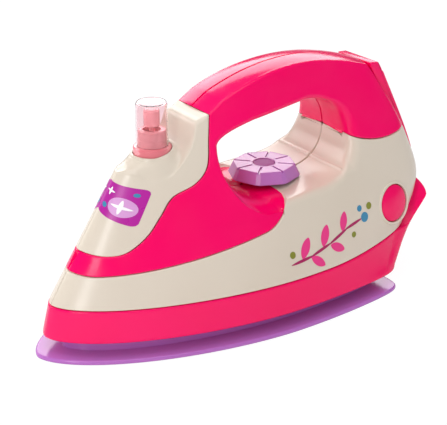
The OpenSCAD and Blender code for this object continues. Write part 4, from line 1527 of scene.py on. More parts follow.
@dataclass(frozen=True)
class SidePanels:
    """Cream sides with the floor under the dial and the ramp behind it.

    The ridge is a place, a half width and a height. The counts are rows of front, floor, ramp,
    line across the column and rear, and the steps are columns of lip, side, rounding and floor.
    """

    groove: float = 0.4
    lip_round: float = 0.7
    floor_round: float = 4.6
    floor_turn: float = math.radians(72.0)
    column_round: float = 6.0
    button_bore: float = 10.05
    meet: float = 0.995
    front_power: float = 1.6
    rear_power: int = 3
    sag_end: float = 0.9
    ridge: Triple = (64.5, 0.5, 0.45)
    ramp_span: Pair = (65.5, 9.0)
    run_power: float = 1.8
    shift_power: int = 6
    steep_from: float = 64.1
    steep: float = 0.8
    inner_share: float = 0.96
    inner_set: float = 3.0
    counts: tuple[int, ...] = (90, 24, 90, 26, 36)
    steps: tuple[int, ...] = (6, 34, 10, 12)

    @property
    def floor_columns(self) -> int:
        """Points of a row's floor, from its rounding to the middle plane."""
        return self.steps[3] + len(Strip.SEAM) - 1

    def creased(self, ramp: Array) -> Array:
        """The ramp's profile with a low ridge across it, a bell curve square to the profile.

        Args:
            ramp: Points of the profile.

        Returns:
            The new points.
        """
        at, half, height = self.ridge
        run = unit(np.gradient(ramp, axis=0))
        ridge = height * np.exp(-((ramp[:, 0] - at) / half) ** 2)
        return ramp + spots(-run[:, 1], run[:, 0]) * ridge[:, None]

    def rows(self, skirt: Skirt) -> PanelRows:
        """Works out the rows from nose to rear.

        Args:
            skirt: The skirt below.

        Returns:
            The rows.
        """
        front_rows, floor_rows, ramp_rows, sag_rows, rear_rows = self.counts
        front = self.meet * shares(front_rows) ** self.front_power
        last = LINES.opening_x(LINES.ramp_start)
        x = mix(LINES.lobe_x + self.groove, last, shares(floor_rows))
        edge_x = mix(LINES.widest_x + self.groove, last, shares(floor_rows))
        floor = spots(x, LINES.floor_z(x))
        ramp = self.creased(LINES.ramp(shares(ramp_rows, False)))
        deck = np.concatenate([floor, ramp])
        deck_a = FORM.station(deck)
        floor_a = FORM.station(spots(edge_x, floor[:, 1]))
        edge_a = np.concatenate([floor_a, deck_a[len(floor):]])
        shift = FORM.level(deck_a, deck[:, 1])[0] - FORM.level(edge_a, deck[:, 1])[0]
        sag = LINES.sag(mix(0.0, self.sag_end, shares(sag_rows, False)))
        tip_a = FORM.station(sag[-1:])[0]
        rear = 2.0 - (2.0 - tip_a) * (1.0 - shares(rear_rows, False)) ** self.rear_power
        a = np.concatenate([front, edge_a, FORM.station(sag), rear])
        top = np.concatenate([
            LINES.saddle_z(front) - self.groove,
            deck[:, 1],
            sag[:, 1] - self.groove,
            np.full(len(rear), LINES.column_tip - self.groove),
        ])
        spread = partial(np.repeat, repeats=[len(front), len(deck), len(sag) + len(rear)])
        behind = np.zeros(len(sag) + len(rear))
        ramp_from, ramp_length = self.ramp_span
        return PanelRows(
            a=a,
            top=top,
            low=skirt.edge(a) + self.groove,
            closed=spread([False, True, False]),
            shift=np.concatenate([np.zeros(len(front)), shift, behind]),
            up_ramp=smooth((top - ramp_from) / ramp_length),
        )

    def points(self, a: Array, z: Array, depth: Array) -> Array:
        """Points of the left side by station, height and depth."""
        x, half = FORM.level(a[:, None], z, depth)
        return spots(x, -half, z)

    def outer(self, rows: PanelRows) -> Array:
        """Outer surface: lower lip, side, upper rounding, then the floor or the upper lip.

        Args:
            rows: The panel's rows.

        Returns:
            Rows of points.
        """
        lip_steps, run_steps, arc_steps, floor_steps = self.steps
        a, top, low = rows.a, rows.top[:, None], rows.low[:, None]
        closed, shift = rows.closed[:, None], rows.shift[:, None]
        r = self.lip_round
        arc = QUARTER * shares(lip_steps)[None, :]
        big = mix(self.floor_round, self.lip_round, rows.up_ramp)[:, None]
        turn = self.floor_turn * shares(arc_steps)[None, ::-1]
        end_z = top - np.where(closed, big * (1.0 - np.cos(turn[:, :1])), r)
        t = 1.0 - (1.0 - shares(run_steps)[None, 1:-1]) ** self.run_power
        run = mix(low + r, end_z, t)
        lip_arc = QUARTER * shares(arc_steps)[None, ::-1]
        open_z = top - r * (1.0 - np.cos(lip_arc))
        open_arc = self.points(a, open_z, r * (1.0 - np.sin(lip_arc)))
        open_lip = self.points(a, top, mix(r, Strip.LIP, shares(self.floor_columns)[None, 1:]))
        arc_z = top - big * (1.0 - np.cos(turn))
        wide = FORM.level(a[:, None], end_z)[1]
        start = wide - big * math.sin(self.floor_turn)
        arc_half = start + big * np.sin(turn)
        arc_x = FORM.level(a[:, None], arc_z)[0]
        arc_x = arc_x + shift * (1.0 - (arc_half / wide) ** self.shift_power)
        seam = FORM.parting + np.array(Strip.SEAM[::-1])
        half = np.concatenate([
            mix(start, seam[0], shares(floor_steps)[None, 1:]),
            np.broadcast_to(seam[1:], (len(a), len(seam) - 1)),
        ], 1)
        floor_x = FORM.level(a, rows.top)[0][:, None]
        floor_x = floor_x + shift * (1.0 - (half / wide) ** self.shift_power)
        floor_arc = spots(arc_x, -arc_half, arc_z)
        floor = spots(floor_x, -half, top - seam_fall(half))
        pick = closed[..., None]
        return np.concatenate([
            self.points(a, low + r * (1.0 - np.cos(arc)), r * (1.0 - np.sin(arc))),
            self.points(a, run, 0.0),
            np.where(pick, floor_arc, open_arc),
            np.where(pick, floor, open_lip),
        ], 1)

    def inner(self, rows: PanelRows, count: int) -> Array:
        """Inner surface of a panel, with as many points in each row as the outer one.

        Args:
            rows: The panel's rows.
            count: Points of the side in each row.

        Returns:
            Rows of points.
        """
        wall, a, top, closed = FORM.wall, rows.a, rows.top, rows.closed
        up = (top - self.steep_from) / (LINES.column_foot - self.steep_from)
        steep = self.steep * np.clip(up, 0.0, 1.0) * closed
        under = (top - wall)[:, None]
        z = mix(rows.low[:, None], under, self.inner_share * shares(count - 1)[None, :])
        share = shares(self.floor_columns)[None, 1:]
        edge = FORM.level(a, top - wall, wall)[1][:, None] - self.inner_set
        half = mix(edge, FORM.parting, share)
        x = (FORM.level(a, top)[0] + steep * wall)[:, None] + rows.shift[:, None] * share
        floor_z = np.broadcast_to((top - wall * (1.0 - steep))[:, None], half.shape)
        floor = spots(x, -np.maximum(FORM.parting, half), floor_z)
        lip = self.points(a, under, mix(wall, Strip.LIP, share))
        return np.concatenate([
            self.points(a, z, wall), np.where(closed[:, None, None], floor, lip),
        ], 1)

    def build(self, skirt: Skirt) -> None:
        """Makes both panels, with the bores of the buttons and the bay's slot.

        Args:
            skirt: The skirt below.
        """
        rows = self.rows(skirt)
        outer = self.outer(rows)
        inner = self.inner(rows, outer.shape[1] - self.floor_columns)
        behind = np.arange(len(rows.a)) > np.flatnonzero(rows.closed)[-1]
        inset = self.column_round * np.where(behind, 1.0, rows.up_ramp * rows.closed)
        wall_end = -self.floor_columns - 1
        faces = (fallen(grid, inset, rows.closed, wall_end) for grid in (outer, inner))
        points, quads = shell(*faces)
        for side in Side:
            panel = build_mesh(f"panel_{side.label}", points * side.turn, quads)
            cut(panel, *BUTTONS.bore(side, self.button_bore))
            cut(panel, *BAY.slot())
            dress(panel, CREAM, Body.HOUSING, "cream_plastic", [f"side_panel_{side.label}"])


@dataclass(frozen=True)
class SideButtons:
    """Round push buttons square to the panels, each with a raised ring moulded round it."""

    x: float = 95.5
    half: float = 32.52
    z: float = 45.5
    axis: Triple = (0.145345, -0.971669, 0.186369)
    radius: float = 9.75
    bore_reach: float = 8.0
    crown: Pair = (0.9, 78.0)
    crown_inset: float = 0.9
    crown_steps: int = 14
    rim: Pairs = (
        (-0.55, -0.22), (-0.25, -0.5), (-0.06, -0.95), (0.0, -1.4), (0.0, -4.8), (1.2, -4.8),
        (1.2, -6.2),
    )
    stem: Pairs = ((2.0, -6.2), (2.0, -8.6), (0.0, -8.6))
    ring: Triples = (
        (10.06, -1.6, 0.0), (11.7, -1.6, 0.0), (11.3, 0.15, 0.4), (10.06, 0.25, 0.35),
    )
    bore_sides: int = 72
    crease: float = 50.0

    def place(self, points: Array, side: Side) -> Array:
        """Brings points of the button's own frame, z outward, into the part's frame.

        Args:
            points: The points.
            side: The side.

        Returns:
            The placed points.
        """
        out = np.array(self.axis)
        along = unit(np.cross(np.array([0.0, 0.0, 1.0]), out))
        up = np.cross(out, along)
        middle = np.array([self.x, -self.half, self.z])
        return (middle + points @ np.stack([along, up, out])) * side.turn

    def bore(self, side: Side, radius: float) -> Shape:
        """The round hole of a button.

        Args:
            side: The side.
            radius: Radius of the hole.

        Returns:
            Points and quads.
        """
        end = self.bore_reach
        points, quads = lathe(
            [(0.0, -end), (radius, -end), (radius, end), (0.0, end)], self.bore_sides
        )
        return self.place(points, side), quads

    def profile(self) -> Array:
        """Section of a button: its face falls off with the square of the radius.

        Returns:
            Radius and height of each corner.
        """
        height, fall = self.crown
        r = np.linspace(0.0, self.radius - self.crown_inset, self.crown_steps)
        face = spots(r, height - r * r / fall)
        return np.concatenate([face, np.array(self.rim) + np.array([self.radius, 0.0]), self.stem])

    def build(self) -> None:
        """Makes the buttons and the rings round them."""
        button_points, button_quads = lathe(self.profile())
        ring_points, ring_quads = lathe(rounded(self.ring))
        for side, body in ((Side.LEFT, Body.LEFT_BUTTON), (Side.RIGHT, Body.RIGHT_BUTTON)):
            name = f"push_button_{side.label}"
            button = build_mesh(name, self.place(button_points, side), button_quads)
            replaced = [f"button_{side.label}"]
            dress(button, PINK, body, "pink_plastic", replaced, crease=self.crease)
            name = f"button_ring_{side.label}"
            ring = build_mesh(name, self.place(ring_points, side), ring_quads)
            dress(ring, CREAM, Body.HOUSING, "cream_plastic")


BUTTONS = SideButtons()


@dataclass(frozen=True)
class NoseCover:
    """Cream nose: a scooped top that swells into the raised seat of the sprayer.

    The blend, the fades, sink_back and back_span are each a start and a length.
    """

    axis_x: float = -29.5
    front_round: float = 5.0
    back_round: float = 2.4
    round_blend: Pair = (0.5, 0.25)
    round_limits: tuple[Pair, Pair] = ((0.25, 0.3), (0.35, 0.2))
    round_turn: float = math.radians(70.0)
    lip_round: float = 0.7
    bore: float = 9.5
    bore_span: Pair = (60.0, 120.0)
    rim: float = 10.6
    foot: float = 15.2
    tip_reach: float = 4.6
    tip_power: int = 4
    rim_z: float = 91.2
    rim_soften: float = 0.9
    moat: float = 1.0
    moat_half: float = 1.3
    moat_fades: tuple[Pair, Pair] = ((1.0, 3.0), (11.0, 4.0))
    slant: float = 0.194
    lift_powers: Pair = (2.0, 0.9)
    sink: float = 0.8
    sink_back: Pair = (0.8, 0.25)
    sink_front: float = 0.12
    end: float = 0.985
    ease: float = 0.2
    back_span: Pair = (88.6, 19.2)
    inner_drop: float = 0.1
    inner_shares: Pair = (0.95, 0.9)
    rows: int = 130
    lip_steps: int = 6
    corner_steps: int = 12
    wall_columns: int = 30
    floor_columns: int = 24
    guide: Triples = (
        (9.55, 90.0, 0.0), (10.4, 90.0, 0.0), (12.1, 84.0, 0.0), (12.1, 52.6, 0.4),
        (8.1, 52.6, 0.3), (8.1, 86.2, 0.2), (9.55, 86.2, 0.2),
    )

    def swell(self, points: Array) -> Array:
        """Raises the points round the sprayer toward a slanting plane.

        The share raised is (1 - t)^2, with t the share of the way from the seat's rim to its
        foot, and nearly straight toward the nose's tip, where the foot lies farther out. A
        shallow moat, a bell curve across its own ring, runs round the foot and fades at the tip.

        Args:
            points: Points of the cover.

        Returns:
            The points with their new heights.
        """
        away = np.hypot(points[..., 0] - self.axis_x, points[..., 1])
        toward = (self.axis_x - points[..., 0]) / np.maximum(away, 1.0)
        ahead = np.clip(toward, 0.0, 1.0) ** self.tip_power
        beyond = away - self.rim
        reach = self.foot - self.rim + self.tip_reach * ahead
        past = (beyond + np.sqrt(beyond**2 + self.rim_soften)) / 2
        t = np.clip(past / reach, 0.0, 1.0)
        plane = self.rim_z + (points[..., 0] - self.axis_x) * self.slant
        below = plane - points[..., 2]
        ring = np.exp(-((beyond - self.foot + self.rim) / self.moat_half) ** 2) * (1.0 - ahead)
        (low, low_fade), (high, high_fade) = self.moat_fades
        ring *= smooth((below - low) / low_fade) * smooth((high - below) / high_fade)
        power, less = self.lift_powers
        lift = np.maximum(0.0, below) * (1.0 - t) ** (power - less * ahead) - self.moat * ring
        return points + lift[..., None] * np.array([0.0, 0.0, 1.0])

    def folded(self, left: Array) -> Array:
        """Carries rows of the left side on over the middle plane to the right.

        Args:
            left: Rows of the left side. The first one comes to lie on the ridge.

        Returns:
            Rows from side to side.
        """
        left = left.copy()
        left[0, :, 1] = 0.0
        return np.concatenate([left, left[:, -2::-1] * MIRROR], 1)

    def hollow(self, s: Array) -> Array:
        """Depth of the scooped floor: an eased curve along the lines and (1 - (1 - t)^2)^2 across.

        Args:
            s: Shares of the lines.

        Returns:
            Rows of depths, from the floor's edge to the middle plane.
        """
        back, fade = self.sink_back
        along = self.sink * smooth((back - s) / fade) * smooth(s / self.sink_front)
        t = shares(self.floor_columns, False)[None, :]
        return along[:, None] * (1.0 - (1.0 - t) ** 2) ** 2

    def outer(self, s: Array, edge: Array, top: Array) -> Array:
        """Outer surface from side to side: lip, wall, rounding and scooped floor.

        Args:
            s: Shares of the lines.
            edge: Points of the lower edge.
            top: Points of the top on the middle plane.

        Returns:
            Rows of points.
        """
        across = unit(top - edge)
        into = inward(edge, across)
        arc = QUARTER * shares(self.lip_steps)[None, :]
        lip_step = self.lip_round * (1.0 - np.cos(arc))
        low = FORM.side(
            edge[:, None] + into[:, None] * lip_step[..., None],
            self.lip_round * (1.0 - np.sin(arc)),
        )
        reach = np.linalg.norm(top - edge, axis=-1)
        start, length = self.round_blend
        big = mix(self.front_round, self.back_round, smooth((s - start) / length))
        (tall, tall_least), (wide, wide_least) = self.round_limits
        most = np.minimum(tall * reach + tall_least, wide * FORM.half_of(top) + wide_least)
        big = np.minimum(big, most)
        turn = self.round_turn * shares(self.corner_steps)[None, ::-1]
        step = big[:, None] * (1.0 - np.cos(turn))
        last = top - across * step[:, :1]
        first = edge + into * self.lip_round
        t = shares(self.wall_columns)[None, 1:-1, None]
        run = FORM.side(mix(first[:, None], last[:, None], t))
        begin = FORM.half_of(last) - big * math.sin(self.round_turn)
        begin = np.maximum(begin, FORM.parting)[:, None]
        bow = top[:, None] - across[:, None] * step[..., None]
        corner_half = begin + big[:, None] * np.sin(turn)
        corner = spots(bow[..., 0], -corner_half, bow[..., 1])
        return self.swell(self.folded(np.concatenate([
            low, run, corner, self.floor(top, begin, self.hollow(s)),
        ], 1)))

    def floor(self, line: Array, half: Array, sink: Array) -> Array:
        """Points from a half width to the middle plane, sunk below a line there by a depth."""
        left = -half * (1.0 - shares(self.floor_columns, False)[None, :])
        return spots(line[:, :1], left, line[:, 1:] - sink)

    def inner(self, s: Array, edge: Array, top: Array) -> Array:
        """Inner surface from side to side, a wall's thickness inside the outer one.

        Args:
            s: Shares of the lines.
            edge: Points of the lower edge.
            top: Points of the top on the middle plane.

        Returns:
            Rows of points, as many as the outer ones.
        """
        slope = unit(np.gradient(top, axis=0))
        start, length = self.back_span
        back = np.clip((top[:, 1] - start) / length, 0.0, 1.0) ** 3
        down = spots(slope[:, 1] * (1.0 - back), -slope[:, 0] - self.inner_drop)
        under = top + unit(down) * FORM.wall
        count = self.lip_steps + self.wall_columns + self.corner_steps
        tall, wide = self.inner_shares
        line = mix(edge[:, None], under[:, None], tall * shares(count)[None, :, None])
        half = FORM.half_of(under, FORM.wall)[:, None] * wide
        return self.folded(np.concatenate([
            FORM.side(line, FORM.wall), self.floor(under, half, self.hollow(s)),
        ], 1))

    def build(self) -> None:
        """Makes the cover from side to side, bores it, then adds the guide below."""
        t = shares(self.rows) * self.end
        s = np.where(t < self.ease, t * t / self.ease, t)
        edge, top = LINES.nose_edge(EDGE_END * s), LINES.scoop(SCOOP_END * s)
        faces = self.outer(s, edge, top), self.inner(s, edge, top)
        cover = build_mesh("nose_moulding", *shell(*faces, True))
        axis = np.array([self.axis_x, 0.0, 0.0])
        low, high = self.bore_span
        bore, quads = lathe([(0.0, low), (self.bore, low), (self.bore, high), (0.0, high)])
        cut(cover, bore + axis, quads)
        dress(cover, CREAM, Body.HOUSING, "cream_plastic", ["nose_cover"])
        points, quads = lathe(rounded(self.guide))
        guide = build_mesh("bottle_guide", points + axis, quads)
        dress(guide, CREAM, Body.HOUSING, "cream_plastic")


SOLE_SCREWS = np.array([
    [-41.8, -18.0, 0.0], [-41.8, 18.0, 0.0], [57.0, -18.0, 0.0], [57.0, 18.0, 0.0],
])


@dataclass(frozen=True)
class Soleplate:
    """Lilac plate with a rounded rim, and the collar between it and the body."""

    length: float = 190.0
    width: float = 97.4
    thickness: float = 2.2
    taper: float = 0.14
    square: float = 20.0
    spine: float = 0.98
    rim: Pairs = (
        (12.0, 0.0), (4.0, 0.0), (1.0, 0.0), (0.5, 0.06), (0.15, 0.25), (0.0, 0.6), (0.0, 1.3),
        (0.1, 1.7), (0.35, 2.0), (0.8, 2.18), (1.4, 2.2), (4.0, 2.2), (12.0, 2.2),
    )
    collar: Pairs = ((9.7, 2.0), (9.9, 8.6), (10.2, 9.2), (10.7, 9.3), (10.7, 2.0))
    bore: Pairs = (
        (0.0, -1.0), (3.0, -1.0), (3.0, 1.4), (1.5, 1.4), (1.5, 4.0), (0.0, 4.0),
    )
    bore_sides: int = 40
    nose_rows: tuple[int, int] = (80, 2)
    rear_rows: tuple[int, int] = (90, 3)

    def build(self) -> None:
        """Makes the plate, the plan's rings carried over its rim, and the collar on it."""
        a = stations(self.nose_rows, self.rear_rows)
        plan = FORM.plan(a, self.taper, self.square)
        depth, z = np.array(self.rim).T
        x = np.where(
            a[:, None] < 1.0,
            mix(depth - self.length / 2, FORM.widest_x, a[:, None]),
            mix(FORM.widest_x, self.length / 2 - depth, (a - 1.0)[:, None]),
        )
        half = np.maximum(0.0, (self.width / 2 - depth) * plan[:, None])
        left = spots(x, -half, z)
        ring = np.concatenate([left, (left * MIRROR)[-2:0:-1]])
        spine = ring[:, :1] * np.array([self.spine, 0.0, 0.0])
        grid = np.concatenate([spine, ring, spine + np.array([0.0, 0.0, self.thickness])], 1)
        plate = build_mesh("sole_moulding", *surface(grid, True, False))
        bore, faces = lathe(self.bore, self.bore_sides)
        for place in SOLE_SCREWS:
            cut(plate, bore + place, faces)
        dress(plate, LILAC, Body.HOUSING, "lilac_plastic", ["soleplate"])
        depth, z = np.array(self.collar).T
        x, half = FORM.level(a[:, None], FORM.skirt_bottom, depth[None, :])
        left = spots(x, -half, z)
        ring = np.concatenate([left, (left * MIRROR)[::-1]])
        collar = build_mesh("sole_collar", *surface(ring, True, True))
        dress(collar, LILAC, Body.HOUSING, "lilac_plastic")


@dataclass(frozen=True)
class Dial:
    """Eight-sided knob with a groove on each corner and a sunk hub.

    The face is given by radius and drop from the top. The channel is a half width, a fading and a
    depth, and flat_span and channel_start are each a start and a length.
    """

    x: float = 35.4
    rest: float = 64.9
    height: float = 6.0
    lobes: int = 8
    face: Pairs = (
        (0.0, 0.9), (5.5, 0.9), (5.5, 0.35), (5.75, 0.06), (6.1, 0.0), (7.0, 0.0), (7.6, 0.0),
        (10.0, 0.0), (13.0, 0.0), (15.2, 0.0), (15.8, 0.03), (16.05, 0.15), (16.2, 0.35),
        (16.3, 0.6),
    )
    skirt: Pair = (0.1, 0.5)
    skirt_steps: int = 14
    foot: float = 18.8
    under: Pairs = ((0.15, 0.12), (0.8, 0.0))
    stem: Pair = (4.55, 58.3)
    groove_share: float = 0.36
    groove_half: float = 1.25
    least_reach: float = 1.4
    columns: tuple[int, int] = (9, 21)
    corner_cut: float = 0.972
    flat_span: Pair = (6.6, 6.0)
    round_within: float = 4.6
    channel: Triple = (0.56, 0.2, 0.9)
    channel_start: Pair = (6.9, 0.5)
    channel_drop: float = 0.7
    hub: Triples = (
        (0.0, -1.4, 0.0), (5.4, -1.4, 0.0), (5.4, -0.35, 0.3), (0.0, -0.25, 0.0),
    )
    hub_sides: int = 72
    crease: float = 17.0

    def rings(self) -> tuple[Array, Array]:
        """Radius and height of each ring, from the middle of the face to the stem's end.

        Returns:
            Radii and heights.
        """
        radius, drop = np.array(self.face).T
        height = self.rest + self.height - drop
        down = shares(self.skirt_steps, False)
        inside, above = self.skirt
        under, lift = np.array(self.under).T
        stem, end = self.stem
        return (
            np.concatenate([
                radius, mix(radius[-1], self.foot - inside, down), self.foot - under,
                [stem, stem, 0.0],
            ]),
            np.concatenate([
                height, mix(height[-1], self.rest + above, down), self.rest + lift,
                [self.rest, end, end],
            ]),
        )

    def sector(self, reach: Array) -> Array:
        """Angles of one sector's columns, even across the groove and then spread to the flats.

        Args:
            reach: Radius of each ring.

        Returns:
            Rows of angles from the groove's middle.
        """
        beside, across = self.columns
        edge = self.groove_share
        q = np.concatenate([
            np.linspace(-1.0, -edge, beside)[:-1],
            np.linspace(-edge, edge, across),
            np.linspace(edge, 1.0, beside)[1:-1],
        ])[None, :]
        grooved = np.arcsin(np.clip(q / edge, -1, 1) * self.groove_half / reach)
        start = np.arcsin(self.groove_half / reach)
        past = (np.abs(q) - edge) / (1.0 - edge)
        beyond = np.sign(q) * mix(start, math.pi / self.lobes, past)
        return np.where(past <= 1e-4, grooved, beyond)

    def build(self) -> None:
        """Makes the knob on a polar grid whose columns follow the grooves, and its hub.

        The outline is the lesser of an eight-sided one with its corners at the grooves and a flat
        cut across each corner.
        """
        top = self.rest + self.height
        radius, height = self.rings()
        reach = np.maximum(radius, self.least_reach)[:, None]
        angle = self.sector(reach)
        half = math.pi / self.lobes
        flat = math.cos(half) / np.cos(half - np.abs(angle))
        flat = np.minimum(flat, self.corner_cut / np.cos(angle))
        start, length = self.flat_span
        blend = smooth((radius - start) / length) * (radius > self.round_within)
        r = radius[:, None] * mix(1.0, flat, blend[:, None])
        width, fade, depth = self.channel
        channel = smooth((width - np.abs(reach * np.sin(angle))) / fade)
        start, length = self.channel_start
        on_top = smooth((radius - start) / length) * (height > top - self.channel_drop)
        z = height[:, None] - depth * channel * on_top[:, None]
        turn = np.arange(self.lobes) * (2.0 * math.pi / self.lobes)
        theta = (angle[:, None, :] + turn[None, :, None]).reshape(len(radius), -1)
        r, z = np.tile(r, (1, self.lobes)), np.tile(z, (1, self.lobes))
        points = spots(self.x + r * np.cos(theta), r * np.sin(theta), z)
        knob = build_mesh("dial_knob", *surface(points, False, True))
        dress(knob, LAVENDER, Body.DIAL, "lilac_plastic", ["dial"], crease=self.crease)
        points, quads = lathe(rounded(self.hub), self.hub_sides)
        hub = build_mesh("dial_hub", points + np.array([self.x, 0.0, top]), quads)
        dress(hub, VIOLET, Body.DIAL, "violet_plastic", ["dial_cap"])


@dataclass(frozen=True)
class Sprayer:
    """Bottle, neck ring, pump and clear cap, turned round one axis from their sections."""

    axis_x: float = -29.5
    ring: Triples = (
        (5.9, 86.6, 0.2), (9.2, 86.6, 0.3), (9.2, 93.0, 0.7), (8.4, 93.4, 0.3), (5.9, 93.4, 0.1),
    )
    collar: Triples = (
        (1.8, 93.4, 0.1), (6.9, 93.4, 0.2), (6.9, 96.6, 0.2), (6.75, 96.9, 0.1), (6.7, 101.2, 0.6),
        (4.2, 101.4, 0.3), (4.2, 99.0, 0.2), (1.8, 99.0, 0.2),
    )
    head: Triples = (
        (0.0, 85.0, 0.0), (2.8, 85.0, 0.1), (2.8, 85.9, 0.1), (1.5, 85.9, 0.1), (1.5, 103.2, 0.1),
        (3.8, 103.2, 0.3), (3.8, 110.4, 0.6), (2.9, 111.2, 0.5), (0.0, 110.7, 0.0),
    )
    cap: Triples = (
        (7.05, 93.7, 0.15), (7.65, 93.7, 0.2), (7.45, 113.6, 0.5), (6.85, 114.7, 0.5),
        (0.0, 114.7, 0.0), (0.0, 113.8, 0.0), (6.7, 113.8, 0.5), (7.0, 96.0, 0.1),
    )
    bottle: Triples = (
        (0.0, 40.0, 0.0), (7.8, 40.0, 1.4), (7.8, 83.7, 1.5), (5.8, 86.6, 1.0), (5.8, 91.5, 0.2),
        (4.3, 91.5, 0.2), (4.3, 85.6, 0.6), (6.8, 82.7, 1.0), (6.8, 41.0, 1.0), (0.0, 41.0, 0.0),
    )

    def build(self) -> None:
        """Makes the visible pieces of the sprayer."""
        axis = np.array([self.axis_x, 0.0, 0.0])
        for name, section, finish, body, slot, node in (
            ("sprayer_ring", self.ring, ROSE, Body.BOTTLE, "pink_plastic", "neck_ring"),
            (
                "pump_collar_moulding", self.collar, BLUSH, Body.BOTTLE, "rose_plastic",
                "pump_collar",
            ),
            ("spray_button", self.head, BLUSH, Body.HEAD, "rose_plastic", "spray_head"),
            ("clear_cap", self.cap, CLEAR, Body.CAP, "clear_plastic", "spray_cap"),
            ("bottle_moulding", self.bottle, MILKY, Body.BOTTLE, "milky_plastic", "bottle"),
        ):
            points, quads = lathe(rounded(section))
            dress(build_mesh(name, points + axis, quads), finish, body, slot, [node])


@dataclass(frozen=True)
class BatteryDoor:
    """Spine along the back: a tapering ridge with a finger notch near its top."""

    gap: float = 0.3
    edge_round: float = 0.5
    edge_angle: float = math.radians(40.0)
    edge_steps: int = 3
    rows: int = 40
    seat_end: float = 23.6
    head_gap: float = 0.8
    shelf_share: float = 0.9
    notch: float = 9.5
    brow: Pair = (1.0, 7.0)
    hollow_wall: float = 2.0
    hollow_out: Pair = (-4.0, 1.8)
    hollow_span: Pair = (-14.0, 15.0)
    screw_depth: float = 1.4
    bore: Pairs = (
        (0.0, -9.0), (1.5, -9.0), (1.5, 0.0), (3.0, 0.0), (3.0, 9.0), (0.0, 9.0),
    )
    bore_sides: int = 48

    def screw_seat(self) -> float:
        """How far out of the back's plane the screw's head rests."""
        return float(BAY.seat(np.array(BAY.screw_z))) + self.gap + BAY.door_foot - self.screw_depth

    def section(self) -> Array:
        """Side section of the door: along its seat, round its head and down its ridge.

        Returns:
            Distance out of the back's plane and height of each point.
        """
        high, foot, full = BAY.door_high, BAY.door_foot, BAY.door_height
        seat = np.concatenate([np.linspace(BAY.door_low, self.seat_end, self.rows), [high]])
        seat_out = BAY.seat(seat) + self.gap + np.where(seat > self.seat_end, self.head_gap, 0.0)
        shelf = full * self.shelf_share
        crest = high - self.notch
        slope = (full - foot) / (crest - BAY.door_low)
        ridge = np.linspace(crest, BAY.door_low, self.rows)
        ridge_out = BAY.seat(ridge) + self.gap + foot + (ridge - BAY.door_low) * slope
        inset, drop = self.brow
        head = np.array([
            (self.gap + shelf, high - shelf * math.tan(BAY.angle)),
            (self.gap + full - inset, high - drop),
        ])
        return np.concatenate([
            spots(seat_out, seat), head, spots(ridge_out, ridge),
        ])

    def build(self) -> None:
        """Makes the door from its side section, hollows it and sinks the screw's seat."""
        section = self.section()
        half = BAY.door_width / 2
        ring = mix(section.mean(0), section, np.array([0.0, 1.0, 1.0, 0.0])[:, None, None])
        y = np.array([-half, -half, half, half])[:, None, None]
        y = np.broadcast_to(y, (*ring.shape[:2], 1))
        points = BAY.place(np.concatenate([ring[..., :1], y, ring[..., 1:]], -1))
        door = build_mesh("battery_cover", *surface(points, False, True))
        soft = door.modifiers.new("soft edges", "BEVEL")
        soft.width = self.edge_round * MM
        soft.segments = self.edge_steps
        soft.use_clamp_overlap = False
        soft.limit_method = "ANGLE"
        soft.angle_limit = self.edge_angle
        room = half - self.hollow_wall
        (inner, outer), (low, high) = self.hollow_out, self.hollow_span
        cut(door, *BAY.block((inner, -room, low), (self.gap + outer, room, high)))
        bore, faces = lathe(self.bore, self.bore_sides)
        out = bore[:, 2] + self.screw_seat()
        cut(door, BAY.place(spots(out, bore[:, 1], BAY.screw_z - bore[:, 0])), faces)
        dress(door, PINK, Body.DOOR, "pink_plastic", ["battery_door"])


@dataclass(frozen=True)
class CrossScrews:
    """Screws with domed heads and a cross in each: one in the battery door, four in the sole."""

    head: float = 2.8
    head_depth: float = 1.4
    crown: float = 0.35
    shank: float = 1.3
    edge_round: float = 0.3
    cross_half: float = 1.75
    slot_half: float = 0.36
    slot_depth: float = 0.75
    clear: float = 1.0
    sole_clear: float = 0.2
    door_reach: float = 4.5
    sole_reach: float = 7.8
    sides: int = 48

    def make(self, name: str, seats: Array, axes: Array, height: float, reach: float) -> Object:
        """Makes the screws of one node: a turned section, then the two slots of each cross.

        Args:
            name: Name of the piece.
            seats: Where the heads rest.
            axes: Rows for the directions across, along and out of a head.
            height: Height of a head.
            reach: Length of a shank.

        Returns:
            The piece.
        """
        section = rounded([
            (0.0, -reach, 0.0), (self.shank, -reach, self.edge_round), (self.shank, 0.0, 0.0),
            (self.head, 0.0, 0.0), (self.head, height - self.crown, self.edge_round),
            (0.0, height, 0.0),
        ])
        points, quads = lathe(section, self.sides)
        piece = build_mesh(name, *gathered([(seat + points @ axes, quads) for seat in seats]))
        for x, y in ((self.cross_half, self.slot_half), (self.slot_half, self.cross_half)):
            low, high = (-x, -y, height - self.slot_depth), (x, y, height + self.clear)
            corners, faces = block(low, high)
            cut(piece, *gathered([(seat + corners @ axes, faces) for seat in seats]))
        return piece

    def build(self, door: BatteryDoor) -> None:
        """Makes the door's screw and the sole's screws.

        Args:
            door: The door that holds the first one.
        """
        seat = BAY.place(np.array([[door.screw_seat(), 0.0, BAY.screw_z]]))
        c, s = math.cos(BAY.angle), math.sin(BAY.angle)
        axes = np.array([[s, 0.0, -c], [0.0, 1.0, 0.0], [c, 0.0, s]])
        screw = self.make("door_fixing", seat, axes, self.head_depth, self.door_reach)
        dress(screw, STEEL, Body.DOOR, "steel", ["door_screw"])
        seats = SOLE_SCREWS + np.array([0.0, 0.0, self.head_depth])
        axes, height = np.diag([1.0, -1.0, -1.0]), self.head_depth - self.sole_clear
        screws = self.make("sole_fixings", seats, axes, height, self.sole_reach)
        dress(screws, STEEL, Body.HOUSING, "steel", ["sole_screws"])


